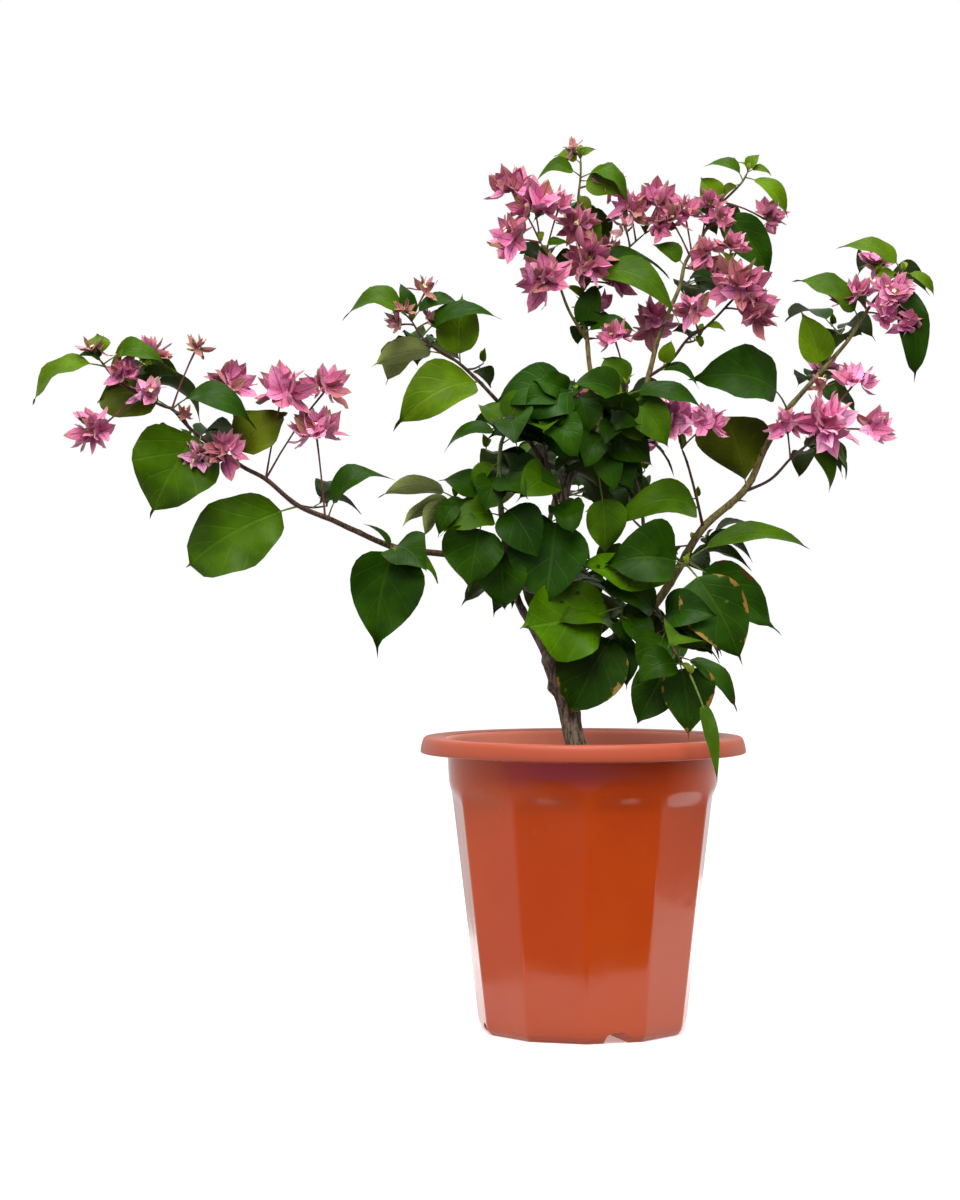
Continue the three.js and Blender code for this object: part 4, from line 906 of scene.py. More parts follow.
# %% [markdown]
# ## The blade, for leaves and bracts
#
# A leaf and a bract are the same kind of surface: a thin sheet that widens from a stalk, is folded
# along its middle and arched along its length. Modelling one by hand and copying it would give
# the same leaf everywhere. As a formula with a few numbers, each one gets its own width,
# droop, wave and twist. The under face shares the outline with the upper one, so the
# sheet is closed.


# %% Define the blade
CLOSER_ENDS, POINT_WIDTH, TWIST_CENTRE = 0.06, 3.2, 0.4


def blade_pattern(rows, columns):
    """Triangles of a closed sheet: a grid whose first and last rows are single points, and the
    same grid again below with its own inner corners. Both are cut along the same diagonals, so
    they never cross. Returns the upper face and then the under one."""
    upper = 1 + np.arange((rows - 1) * (columns + 1)).reshape(rows - 1, columns + 1)
    tip = 1 + upper.size
    under = upper.copy()
    under[:, 1:-1] = tip + 1 + np.arange((rows - 1) * (columns - 1)).reshape(rows - 1, columns - 1)
    parts = []
    for grid, order in ((upper, 1), (under, -1)):
        start, ahead, aside, across = grid[:-1, :-1], grid[1:, :-1], grid[:-1, 1:], grid[1:, 1:]
        foot = np.stack([np.zeros(columns, int), grid[0, :-1], grid[0, 1:]], axis=1)
        peak = np.stack([grid[-1, :-1], np.full(columns, tip), grid[-1, 1:]], axis=1)
        pairs = ((start, ahead, across), (start, across, aside))
        halves = [np.stack(half, axis=2).reshape(-1, 3) for half in pairs]
        parts.append(np.vstack([*halves, foot, peak])[:, ::order])
    return parts


def sheet_order(grid, under_grid):
    """Put a full grid of corners into the order that the blade's pattern counts them in."""
    copies, width = grid.shape[0], grid.shape[-1]
    middle = grid.shape[2] // 2
    parts = [grid[:, 0, middle], grid[:, 1:-1], grid[:, -1, middle], under_grid[:, 1:-1, 1:-1]]
    return np.concatenate([part.reshape(copies, -1, width) for part in parts], axis=1)


def blades(root, along, face_out, length, width, shape, rows, columns, thickness):
    """Corners of many blades. At a share s of the length and u from -1 to 1 across, a corner lies
    s times the length along, u times the half width across, and out by the arch, which is
    greatest in the middle, plus the fold, which grows to the edges, less the droop of the tip,
    plus the twist, which turns base and tip against each other, plus a wave along the edges. The
    lift raises the middle, the bend carries the tip aside and the lean makes one side wider. The
    blade begins at the share "start". Its half width is t, its own share, to the power "base"
    times what is left of the broad part to the power "tip", divided by its greatest value; where
    the broad part ends, a narrow point goes on."""
    get = {key: np.full(len(root), value, float)[:, None, None] for key, value in shape.items()}
    t = np.linspace(0, 1, rows + 1)[None, :, None]
    t = t - CLOSER_ENDS * np.sin(2 * np.pi * t)
    u = np.linspace(-1, 1, columns + 1)[None, None, :]
    size, half = length[:, None, None], width[:, None, None] / 2
    broad = 1 - get["point"]
    peak = get["base"] / (get["base"] + get["tip"])
    most = (broad * peak) ** get["base"] * (1 - peak) ** get["tip"]
    outline = t ** get["base"] * np.maximum(0, 1 - t / broad) ** get["tip"] / most
    outline = np.maximum(outline, POINT_WIDTH * get["point"] * (1 - t) * np.minimum(1, t))
    side = u * half * outline * (1 + get["lean"] * np.sign(u))
    s = get["start"] + (1 - get["start"]) * t
    rise = get["arch"] * 4 * s * (1 - s) * size + get["fold"] * np.abs(side) - get["droop"] * size * t**3
    rise = rise + get["twist"] * side * (t - TWIST_CENTRE)
    turns = get["waves"] * t + get["phase"] * (1 + np.sign(u))
    rise = rise + get["wave"] * half * u**2 * np.sin(2 * np.pi * turns)
    shift = side + get["bend"] * size * t**2
    across, out = face_out
    grid = root[:, None, None] + along[:, None, None] * (s * size)[..., None]
    grid = grid + across[:, None, None] * shift[..., None] + out[:, None, None] * rise[..., None]
    grid = grid + upright(along)[:, None, None] * (get["lift"] * 4 * s * (1 - s) * size)[..., None]
    return sheet_order(grid, grid - out[:, None, None] * thickness[:, None, None, None])


def drawn_shape(ranges, count, random):
    """An even random number for each blade, between the two ends of each key's range."""
    return {key: random.uniform(*ends, count) for key, ends in ranges.items()}


def blade_places(rows, columns):
    """Pattern coordinates of the blade: across it from 0 to 1, and along it from 0 to 1."""
    t, u = np.meshgrid(np.linspace(0, 1, rows + 1), np.linspace(0, 1, columns + 1), indexing="ij")
    grid = np.stack([u, t], axis=-1)[None]
    return sheet_order(grid, grid)[0]


print("a small leaf has", sum(len(part) for part in blade_pattern(8, 4)), "triangles")

# %% [markdown]
# ## Rods, for twigs, stalks and flower tubes
#
# Twigs, leaf stalks and flower tubes are all rods: rings of corners round a line, closed at both
# ends. One function makes any number of them at once from their lines and radii.


# %% Define the rod
def rod_pattern(rings, sides):
    """Faces of a closed tube: a wall of quads, then triangles to a point in each end."""
    side = np.arange(sides)
    after = (side + 1) % sides
    row = sides * np.arange(rings - 1)[:, None]
    wall = np.stack([row + side, row + after, row + after + sides, row + side + sides], axis=2)
    last, centre = sides * (rings - 1), np.full(sides, sides * rings)
    foot = np.stack([centre, after, side], axis=1)
    peak = np.stack([centre + 1, last + side, last + after], axis=1)
    return [wall.reshape(-1, 4), np.vstack([foot, peak])]


def rods(lines, radii, sides):
    """Corners of tubes: each ring lies square to its line, and a corner is the ring's centre plus
    its radius times the cosine of its angle one way and the sine of it the other way. The
    radii have one value for each ring, or one for each corner where there is a relief."""
    along = unit(np.gradient(lines, axis=1))
    spread = np.abs(lines[:, -1] - lines[:, 0])
    steady = np.eye(3)[np.argmin(spread, axis=1)][:, None]
    across = unit(steady - along * np.sum(along * steady, axis=-1, keepdims=True))
    other = np.cross(along, across)
    angle = (2 * np.pi * np.arange(sides) / sides)[None, None, :, None]
    ring = across[:, :, None] * np.cos(angle) + other[:, :, None] * np.sin(angle)
    reach = radii[..., None, None] if radii.ndim == 2 else radii[..., None]
    corners = (lines[:, :, None] + ring * reach).reshape(len(lines), -1, 3)
    return np.concatenate([corners, lines[:, :1], lines[:, -1:]], axis=1)


def add_rods(batch, lines, radii, sides, finish):
    """Add tubes to a batch. A single row of radii serves for all of them."""
    if radii.ndim == 1:
        radii = np.broadcast_to(radii, lines.shape[:2])
    batch.add(rods(lines, radii, sides), rod_pattern(lines.shape[1], sides), finish)


print("a four-ring rod has", sum(len(part) for part in rod_pattern(4, 6)), "faces")

# %% [markdown]
# ## Leaf finishes
#
# A healthy leaf is glossy and dark above with a paler middle rib and side veins, and dull and pale
# below. Young leaves are yellow-green, old ones in the shade are deep green or bluish, and a few
# are spotted or brown at the tip. The deep green is a darker copy of the dark green, partly painted
# shade; the bluish green's blue cast is partly painted sheen, the sky mirrored on the gloss. The
# plain underside's colour is darkened as painted shade, and the pale underside's is raised as
# painted light. Each of these is one material with a plain colour of its own, dealt out by spray.
# The veins follow the leaf's own pattern coordinates: across it and along it.


# %% Define the leaf finishes
def off_middle(tree, value):
    """How far a value lies from a half, either way."""
    return reckon(tree, "ABSOLUTE", reckon(tree, "SUBTRACT", value, 0.5))


def vein_mask(tree, veins, slant, thin):
    """1 on the middle rib and on side veins that run slantwise to the edge, 0 between them."""
    across, along = pattern_place(tree)
    aside = times(tree, off_middle(tree, across), 2)
    rib = ramp(tree, aside, thin * 0.3, thin, 1, 0)
    lean = times(tree, reckon(tree, "POWER", aside, 0.8), slant)
    run = times(tree, reckon(tree, "SUBTRACT", along, lean), veins)
    side_veins = ramp(tree, off_middle(tree, reckon(tree, "FRACT", run)), 0.01, 0.09, 0.5, 0)
    return reckon(tree, "MAXIMUM", rib, side_veins)


def edge_share(tree):
    """How near a place lies to the tip or the side edges: 0 on the rib, 1 on the edge."""
    across, along = pattern_place(tree)
    return reckon(tree, "MAXIMUM", times(tree, off_middle(tree, across), 1.8), along)


def leaf_finish(name, colour, vein, roughness, spots=None, browned=None):
    """A leaf's upper or under face: cloudy colour, paler veins, and where the leaf is old or
    bitten a few round spots, or a scorched tip and scorched patches along the edge."""
    material, tree, shader = new_finish(name, Roughness=roughness, IOR=1.4)
    shader.inputs["Specular IOR Level"].default_value = 0.15
    place = object_place(tree)
    cloud = ramp(tree, noise(tree, place, 38.0), 0.35, 0.7)
    deep = paint(*[0.8 * part for part in colour])
    body = blend(tree, cloud, deep, paint(*colour))
    mask = vein_mask(tree, 6.0, 0.3, 0.07)
    body = blend(tree, times(tree, mask, 0.22), body, paint(*vein))
    if spots:
        spot = ramp(tree, noise(tree, place, 130.0, 1.0), 0.71, 0.76)
        body = blend(tree, spot, body, paint(*spots))
    if browned:
        scorch = ramp(tree, reckon(tree, "ADD", edge_share(tree), noise(tree, place, 90.0, 4.0)), 1.36, 1.44)
        body = blend(tree, scorch, body, paint(*browned))
    colour_by(tree, shader, body)
    fine = noise(tree, place, 900.0, 2.0)
    add_bump(tree, shader, reckon(tree, "ADD", times(tree, mask, -0.8), times(tree, fine, 0.25)), 0.0004)
    return material


LEAF_LOOKS = {
    # deep is a darker copy of dark: partly the leaves' own tone, partly painted shade in the middle and at
    # the back
    "deep": ((33, 59, 1), (54, 84, 18), 0.38),
    "dark": ((40, 70, 1), (64, 98, 22), 0.38),
    "mid": ((64, 95, 2), (92, 122, 30), 0.42),
    "fresh": ((86, 116, 10), (116, 144, 44), 0.44),
    "young": ((122, 140, 44), (152, 170, 82), 0.46),
    "lime": ((76, 117, 0), (108, 148, 30), 0.42),
    # bluish is a dark green whose blue cast is partly painted sheen, the sky mirrored on the gloss
    "bluish": ((40, 72, 16), (70, 104, 46), 0.34),
    "olive": ((80, 92, 10), (106, 118, 40), 0.46),
}
LEAF_LOOKS |= {
    "limespot": (*LEAF_LOOKS["lime"], (44, 44, 12)),
    "brownspot": (*LEAF_LOOKS["dark"], (84, 84, 24), (132, 104, 48)),
    "browntip": (*LEAF_LOOKS["dark"], None, (74, 42, 26)),
    # The plain underside's colour is darkened as painted shade, for undersides seen through gaps in the
    # crown.
    "underside": ((56, 76, 18), (84, 104, 40), 0.6),
    "olive_underside": ((76, 86, 12), (98, 108, 34), 0.55),
    # The pale underside is a real pale colour raised further as painted light, for leaves that face down.
    "pale_underside": ((140, 152, 84), (160, 170, 108), 0.6),
}
leaf_materials = [leaf_finish("leaf_" + name, *look) for name, look in LEAF_LOOKS.items()]
LEAF_NUMBERS = {name: number for number, name in enumerate(LEAF_LOOKS)}
print(len(leaf_materials), "leaf materials")

# %% [markdown]
# ## The leaves
#
# The greens are dealt out by spray: deep in the crowded middle, brighter out in the light. The deep
# and dark greens in the middle and at the back are partly the leaves' own tone and partly painted
# shade. Within a spray each leaf may be one step lighter or darker. A leaf with a green or a shape
# of its own keeps that. Each leaf that is seen from below in front shows a paler underside on two
# sprays and an olive one on two others.

# %% Make the leaves
SPRAY_GREENS = {
    "left_arm_spray": ("mid", "fresh", "dark"),
    "left_arm_leaves": ("dark", "dark", "mid"),
    "left_crown": ("dark", "dark", "mid"),
    "upper_left_spray": ("mid", "dark", "fresh"),
    "core_left": ("deep", "dark", "bluish"),
    "core_right": ("dark", "mid", "deep"),
    "centre_left_spray": ("mid", "fresh", "dark"),
    "centre_spray": ("mid", "fresh", "fresh"),
    "right_centre_spray": ("fresh", "mid", "mid"),
    "right_centre_blooms": ("mid", "dark", "fresh"),
    "right_inner_bloom": ("mid", "dark", "mid"),
    "right_outer_spray": ("mid", "dark", "fresh"),
    "right_tip_spray": ("mid", "fresh", "mid"),
    "right_shoulder_leaves": ("dark", "mid", "deep"),
    "right_low_leaves": ("deep", "dark", "dark"),
    "low_front_leaves": ("dark", "deep", "mid"),
}
# The deep and dark greens at the back are partly painted shade.
REAR_GREENS, GREEN_ODDS = ("dark", "mid", "deep"), (0.5, 0.3, 0.2)
BELOW = {
    "pale_underside": ("upper_left_spray", "left_crown"),
    "olive_underside": ("right_outer_spray", "right_tip_spray"),
}
FACE_DOWN, NEAR_SIDE = -25, 30
LEAF_RANGES = {
    "base": (0.4, 0.56), "tip": (0.58, 0.85), "point": (0.07, 0.15), "fold": (0.14, 0.46),
    "droop": (-0.02, 0.13), "wave": (0.04, 0.2), "waves": (1.0, 2.4), "phase": (0.1, 0.5),
    "lean": (-0.13, 0.13), "bend": (-0.09, 0.09), "twist": (-0.7, 0.7),
}
LEAF_GRIDS = ((13, 6), (8, 4))
LEAF_BREADTH, STALK_SHARE, LARGE_LEAF, STRONG_ARCH = 0.86, 0.14, 36, 0.2
random = seeded(LEAF_SEED)


def choose_green(note):
    """The number of a leaf's material: its own, or one of its spray's three greens."""
    if note[10]:
        return LEAF_NUMBERS[note[10]]
    choice = SPRAY_GREENS.get(MASSES[note[9]]["name"], REAR_GREENS)
    return LEAF_NUMBERS[choice[random.choice(3, p=GREEN_ODDS)]]


greens = np.array([choose_green(note) for note in leaf_notes])
leaf_values = np.array([note[:9] for note in leaf_notes], float)
leaf_roots = leaf_values[:, :3]
leaf_along = heading(leaf_values[:, 3], leaf_values[:, 4])
leaf_reach, leaf_face, leaf_arch = leaf_values[:, 5], leaf_values[:, 6], leaf_values[:, 8]
leaf_across, leaf_out = blade_frame(leaf_along, leaf_face)
leaf_width = LEAF_BREADTH * leaf_values[:, 7] * leaf_reach
count = len(leaf_values)
leaf_shape = drawn_shape(LEAF_RANGES, count, random)
leaf_shape["start"], leaf_shape["arch"] = np.full(count, STALK_SHARE), leaf_arch.copy()
leaf_shape["lift"] = np.where(leaf_arch < STRONG_ARCH, 0.11, 0.04) * random.uniform(0.5, 1.3, count)
for number, note in enumerate(leaf_notes):
    for key, value in note[11].items():
        leaf_shape[key][number] = value
owner = np.array([MASSES[note[9]]["name"] for note in leaf_notes])
shown_below = (leaf_face < FACE_DOWN) & (leaf_roots[:, 1] < NEAR_SIDE)
under = np.full(count, LEAF_NUMBERS["underside"])
for look, names in BELOW.items():
    under[shown_below & np.isin(owner, names)] = LEAF_NUMBERS[look]
leaves = Batch()
for grid, chosen in zip(LEAF_GRIDS, (leaf_reach >= LARGE_LEAF, leaf_reach < LARGE_LEAF)):
    shape = {key: value[chosen] for key, value in leaf_shape.items()}
    corners = blades(
        leaf_roots[chosen], leaf_along[chosen], (leaf_across[chosen], leaf_out[chosen]),
        leaf_reach[chosen], leaf_width[chosen], shape, *grid, 0.35 + 0.002 * leaf_reach[chosen],
    )
    leaves.add(corners, blade_pattern(*grid), [greens[chosen], under[chosen]], blade_places(*grid))
mass_names = [mass["name"] for mass in MASSES]
leaves.make("leaves", leaf_materials, mass_names, "foliage")

# %% [markdown]
# ## Twigs and stalks
#
# The stems of the sprays are young wood: slim, a little knotty at each leaf, green-brown near the
# tips and reddish under the flowers. Each leaf hangs on a short stalk that follows the same
# arch as its blade. They are all rods, joined into one object.

# %% Define the twig finishes
def twig_finish(name, young, old):
    """Young bark: two colours in long streaks, with a fine grain."""
    material, tree, shader = new_finish(name, Roughness=0.6)
    streaks = noise(tree, object_place(tree, (1.0, 1.0, 0.25)), 420.0)
    colour_by(tree, shader, blend(tree, ramp(tree, streaks, 0.35, 0.65), paint(*young), paint(*old)))
    add_bump(tree, shader, streaks, 0.0004)
    return material


twig_materials = [
    twig_finish("twig_brown", (84, 58, 40), (50, 34, 24)),
    twig_finish("twig_olive", (108, 102, 50), (74, 62, 36)),
    twig_finish("leaf_stalk", (98, 118, 46), (76, 90, 36)),
    twig_finish("flower_stalk", (118, 66, 58), (84, 44, 38)),
]
BROWN, OLIVE, LEAF_STALK, FLOWER_STALK = range(4)
STEM_COLOURS = {
    "left_crown": LEAF_STALK, "core_right": OLIVE, "centre_left_spray": OLIVE, "centre_spray": OLIVE,
    "right_centre_spray": OLIVE, "right_tip_spray": OLIVE, "low_front_leaves": LEAF_STALK,
}
print(len(twig_materials), "twig materials")

# %% Make the twigs and the leaf stalks
TWIG_SIDES, STALK_RINGS, STALK_OVERLAP = 8, 5, 0.03
twigs = Batch()
for line, (thick, thin), spray in stems:
    run = np.linspace(0, 1, len(line))
    knots = 0.12 * np.maximum(0, np.sin(run * len(line) * 0.9)) ** 6
    radii = (thick + (thin - thick) * run) * (1 + knots)
    radii[-1] *= 0.6
    add_rods(twigs, line[None], radii, TWIG_SIDES, STEM_COLOURS.get(MASSES[spray]["name"], BROWN))

share = np.linspace(0, 1, STALK_RINGS)[None, :, None] * (leaf_shape["start"] + STALK_OVERLAP)[:, None, None]
size = leaf_reach[:, None, None]
bow = 4 * share * (1 - share) * size
stalk_lines = leaf_roots[:, None] + leaf_along[:, None] * share * size
stalk_lines = stalk_lines + leaf_out[:, None] * (leaf_arch[:, None, None] * bow - 0.3)
stalk_lines = stalk_lines + upright(leaf_along)[:, None] * leaf_shape["lift"][:, None, None] * bow
stalk_radii = np.linspace(1.0, 0.6, STALK_RINGS)[None] * (0.45 + 0.006 * leaf_reach[:, None])
add_rods(twigs, stalk_lines, stalk_radii, 5, LEAF_STALK)

# %% Add the thorns
THORN_RADII = np.array([1.3, 1.1, 0.8, 0.5, 0.12])
FIRST_THORN, THORN_STEP, THORN_SAG = 8, 11, 0.25
random = seeded(THORN_SEED)
thorn_starts, thorn_ways = [], []
for limb in LIMBS[1:]:
    line = smooth_line(limb["points"], 4)
    for place in np.arange(FIRST_THORN, len(line) - 2, THORN_STEP):
        thorn_starts.append(line[place])
        thorn_ways.append(heading(360 * random.random(), 35 * random.random()))
thorn_starts, thorn_ways = np.array(thorn_starts)[:, None], np.array(thorn_ways)[:, None]
reach = random.uniform(9, 13, len(thorn_starts))[:, None, None]
run = np.linspace(0, 1, len(THORN_RADII))[None, :, None]
thorn_lines = thorn_starts + thorn_ways * run * reach - UP * THORN_SAG * run**2 * reach
add_rods(twigs, thorn_lines, THORN_RADII, 5, BROWN)
print(len(thorn_lines), "thorns")

# %% [markdown]
# ## Bracts and flowers
#
# What looks like the flower is a cluster of papery bracts, pointed and veined, crowded round
# tiny tubular flowers. A head's bracts are dealt out over its front by the golden angle, which
# spreads any number of them evenly. The inner ones stand up and the outer ones lie back. Large
# heads are open and pink; small ones are still young, narrow and greenish.

# %% Define the bract finishes
def bract_finish(name, colour, edge, vein):
    """Papery colour that pales or greens towards the tip, with darker veins and fine wrinkles."""
    material, tree, shader = new_finish(name, Roughness=0.62, Sheen_Weight=0.25)
    place = object_place(tree)
    cloud = times(tree, noise(tree, place, 120.0), 0.5)
    reach = ramp(tree, reckon(tree, "ADD", pattern_place(tree)[1], cloud), 0.85, 1.35)
    body = blend(tree, reach, paint(*colour), paint(*edge))
    mask = vein_mask(tree, 5.0, 0.45, 0.12)
    body = blend(tree, times(tree, mask, 0.75), body, paint(*vein))
    colour_by(tree, shader, body)
    wrinkles = reckon(tree, "ADD", noise(tree, place, 500.0), times(tree, mask, 0.8))
    add_bump(tree, shader, wrinkles, 0.0004)
    return material


# The pinks are partly the bracts' own range of colour; light also stands for painted highlight on lit
# bracts, and deep and dusky for painted shade in the crown.
BRACT_LOOKS = {
    "rose": ((222, 126, 168), (208, 166, 138), (170, 70, 108)),
    "light": ((242, 164, 202), (238, 200, 190), (204, 104, 146)),
    "deep": ((196, 102, 134), (188, 138, 112), (138, 56, 78)),
    "dusky": ((168, 92, 98), (156, 134, 84), (102, 44, 46)),
    "faded": ((214, 152, 160), (190, 174, 122), (158, 94, 100)),
    "greening": ((162, 104, 88), (140, 144, 68), (112, 70, 54)),
}
bract_materials = [bract_finish("bract_" + name, *look) for name, look in BRACT_LOOKS.items()]
ROSE, LIGHT, DEEP, DUSKY, FADED, GREENING = range(6)
YOUNG_HEAD = 31
# Where dusky or deep leads, as on the upper sprays, it is partly painted shade.
HEAD_LOOKS = {
    "left_arm_spray": (DEEP, ROSE, DUSKY),
    "upper_left_spray": (DUSKY, FADED, GREENING),
    "centre_left_spray": (ROSE, DEEP, DUSKY),
    "centre_spray": (DEEP, DUSKY, ROSE),
    "right_centre_spray": (DEEP, DUSKY, ROSE),
    "right_centre_blooms": (DEEP, DUSKY, ROSE),
    "right_inner_bloom": (ROSE, LIGHT, ROSE),
    "right_outer_spray": (ROSE, LIGHT, DEEP),
    "right_tip_spray": (ROSE, DEEP, LIGHT),
}
# The two paler heads on the left arm spray are partly painted highlight.
PALE_HEADS = {("left_arm_spray", 32): (FADED, LIGHT, ROSE), ("left_arm_spray", 48): (ROSE, LIGHT, DEEP)}
PLAIN_HEAD, YOUNG_LOOKS, LOOK_ODDS = (ROSE, DEEP, DUSKY), (GREENING, DUSKY, FADED), (0.48, 0.26, 0.2, 0.06)
print(len(bract_materials), "bract materials")

# %% Place the bracts
GOLDEN_ANGLE = np.pi * (3 - np.sqrt(5))
UPWARD, OUTWARD, FAR_SIDE = 0.8, 0.45, 60.0
BRACTS_EACH, FLORET_SPAN, YOUNG_FLORETS, YOUNG_WIDTH = 4, 9, 3, 0.7
FLORET_PLACE, BRACT_LEAN, LENGTH_SHARE, WIDTH_SHARE = (0.08, 0.2), (16, 66), (0.36, 0.5), (0.5, 0.72)
random = seeded(BRACT_SEED)


def spread_round(axes, lean, angle):
    """Directions that lean from each axis by one angle, at another angle round it."""
    side = unit(np.stack([-axes[:, 1], axes[:, 0], 0 * axes[:, 0] + 0.001], axis=1))
    other = np.cross(axes, side)
    ring = side * np.cos(angle)[:, None] + other * np.sin(angle)[:, None]
    return axes * np.cos(lean)[:, None] + ring * np.sin(lean)[:, None]


def head_place(note):
    """A head's root, its centre at the end of its stalk, and its axis: the stalk's own direction
    tipped up, and out to the side of the plant that it is on."""
    root, way = np.array(note[:3]), heading(note[3], note[4])
    outward = OUTWARD if root[1] > FAR_SIDE else -OUTWARD
    return root, root + way * note[5], unit(way + np.array([0, outward, UPWARD]))


bract_rows = []
for note in head_notes:
    diameter, name = note[6], MASSES[note[7]]["name"]
    root, centre, axis = head_place(note)
    young = diameter < YOUNG_HEAD
    florets = YOUNG_FLORETS if young else int(2 + diameter / FLORET_SPAN)
    step = np.arange(florets)
    lean = np.radians(10 + 66 * np.sqrt(step / florets)) + random.normal(0, 0.1, florets)
    round_head = GOLDEN_ANGLE * step + 6 * random.random()
    floret_axis = spread_round(np.tile(axis, (florets, 1)), lean, round_head)
    floret_centre = centre + floret_axis * diameter * random.uniform(*FLORET_PLACE, florets)[:, None]
    axes = np.repeat(floret_axis, BRACTS_EACH, axis=0)
    number = florets * BRACTS_EACH
    lean = np.radians(random.uniform(*BRACT_LEAN, number))
    angle = 2 * np.pi / BRACTS_EACH * np.arange(number) + random.normal(0, 0.3, number)
    along = spread_round(axes, lean, angle + np.repeat(6 * random.random(florets), BRACTS_EACH))
    length = diameter * random.uniform(*LENGTH_SHARE, number)
    width = length * random.uniform(*WIDTH_SHARE, number) * (YOUNG_WIDTH if young else 1)
    looks = PALE_HEADS.get((name, diameter), YOUNG_LOOKS if young else HEAD_LOOKS.get(name, PLAIN_HEAD))
    finish = np.array([*looks, GREENING])[random.choice(4, number, p=LOOK_ODDS)]
    roots = np.repeat(floret_centre, BRACTS_EACH, axis=0)
    out = unit(axes - along * np.sum(along * axes, axis=1, keepdims=True))
    bract_rows.append(np.column_stack([roots, along, out, length, width, finish]))
bract_values = np.concatenate(bract_rows)
count = len(bract_values)
print(count, "bracts on", len(head_notes), "heads")

# %% Make the bracts
BRACT_ROWS, BRACT_COLUMNS = 6, 4
bract_along, bract_out = bract_values[:, 3:6], bract_values[:, 6:9]
BRACT_RANGES = {
    "base": (0.5, 0.75), "tip": (0.95, 1.3), "arch": (-0.2, 0.02), "fold": (0.05, 0.35),
    "droop": (-0.05, 0.2), "wave": (0.05, 0.2), "waves": (1.0, 2.0), "phase": (0.1, 0.5),
    "lean": (-0.12, 0.12), "bend": (-0.08, 0.08),
}
bract_shape = drawn_shape(BRACT_RANGES, count, random) | {"point": 0, "start": 0, "twist": 0, "lift": 0}
bract_corners = blades(
    bract_values[:, :3], bract_along, (np.cross(bract_out, bract_along), bract_out),
    bract_values[:, 9], bract_values[:, 10], bract_shape, BRACT_ROWS, BRACT_COLUMNS, np.full(count, 0.25),
)
bracts = Batch()
bracts.add(
    bract_corners, blade_pattern(BRACT_ROWS, BRACT_COLUMNS), bract_values[:, 11].astype(int),
    blade_places(BRACT_ROWS, BRACT_COLUMNS),
)
bracts.make("bracts", bract_materials, [mass["name"] for mass in MASSES if "heads" in mass], "foliage")

# %% [markdown]
# ### Flower tubes and stalks
#
# Inside the bracts stand slim tubes, dark rose below and cream at the mouth, and green buds that
# haven't opened. A tube's line is straight, and its radius swells and then flares, so a rod with
# six rings is enough.

# %% Make the flower tubes, the buds and the head stalks
def tube_finish(name, colour, mouth):
    """Downy flower tube: one colour with soft flecks of the other."""
    material, tree, shader = new_finish(name, Roughness=0.7, Sheen_Weight=0.3)
    flecks = ramp(tree, noise(tree, object_place(tree), 800.0), 0.4, 0.65)
    colour_by(tree, shader, blend(tree, flecks, paint(*colour), paint(*mouth)))
    return material


flower_materials = [
    tube_finish("flower_tube", (150, 64, 70), (120, 96, 60)),
    tube_finish("flower_mouth", (226, 206, 132), (240, 230, 190)),
    tube_finish("bud", (140, 146, 66), (176, 120, 90)),
]
TUBE, MOUTH, BUD = range(3)
TUBE_RADII, MOUTH_RADII = np.array([0.5, 0.9, 1.15, 0.8, 1.0, 0.35]), np.array([0.4, 1.0, 2.0, 1.7, 0.3])
MOUTH_PLACES = np.array([-0.8, -0.1, 0.4, 0.7, 0.5])[None, :, None]
HEAD_STALK_RADII, SAG = np.array([1.0, 0.8, 0.75, 0.8, 1.0]), 0.05
TUBE_SHARE = (0.2, 0.34)
TUBES_EACH, OPEN_ODDS = (5, 4), (0.5, 0.2)  # for an open head, and for a young one
random = seeded(FLOWER_SEED)
tube_starts, tube_ends, opened, head_starts, head_ends = [], [], [], [], []
for note in head_notes:
    root, centre, axis = head_place(note)
    young = note[6] < YOUNG_HEAD
    number = TUBES_EACH[young]
    spread = unit(axis + random.normal(0, 0.38, (number, 3)))
    reach = note[6] * random.uniform(*TUBE_SHARE, number)
    tube_starts.append(np.tile(centre, (number, 1)))
    tube_ends.append(centre + spread * reach[:, None])
    opened.append(random.random(number) < OPEN_ODDS[young])
    head_starts.append(root)
    head_ends.append(centre)
tube_starts, tube_ends, opened = map(np.concatenate, (tube_starts, tube_ends, opened))
run = np.linspace(0, 1, len(TUBE_RADII))[None, :, None]
flowers = Batch()
tube_lines = tube_starts[:, None] + (tube_ends - tube_starts)[:, None] * run
add_rods(flowers, tube_lines, TUBE_RADII, 6, np.where(opened, TUBE, BUD))
facing = unit(tube_ends - tube_starts)[opened]
add_rods(flowers, tube_ends[opened][:, None] + facing[:, None] * MOUTH_PLACES, MOUTH_RADII, 5, MOUTH)
flowers.make("flower_tubes", flower_materials, ["rear_spray"], "foliage")

way = np.array(head_ends) - np.array(head_starts)
run = np.linspace(0, 1, len(HEAD_STALK_RADII))[None, :, None]
sag = UP * 4 * run * (1 - run) * SAG
head_stalks = np.array(head_starts)[:, None] + way[:, None] * run
head_stalks = head_stalks + sag * np.linalg.norm(way, axis=1)[:, None, None]
add_rods(twigs, head_stalks, HEAD_STALK_RADII, 6, FLOWER_STALK)
twigs.make("twigs", twig_materials, mass_names, "bark")

# %% [markdown]
# ## The trunk and the boughs
#
# The trunk's bark is grey-brown and cracked into long plates, with a knot on its left side and a
# smaller one on its right. The boughs above are smoother, with ridges and raised scars where
# leaves once sat. Their relief shows in the outline, so it belongs in the mesh: each tube's radius
# is changed corner by corner by sums of waves that go a whole number of times round, which closes
# the pattern.

# %% Define the bark's relief
COLLAR, COLLAR_REACH, KNOT_REACH = 0.35, 7, 5
SCAR_STEP, SCAR_PLACE, SCAR_WIDTH, SCAR_SIZE = 27, 13, 2.2, 0.09


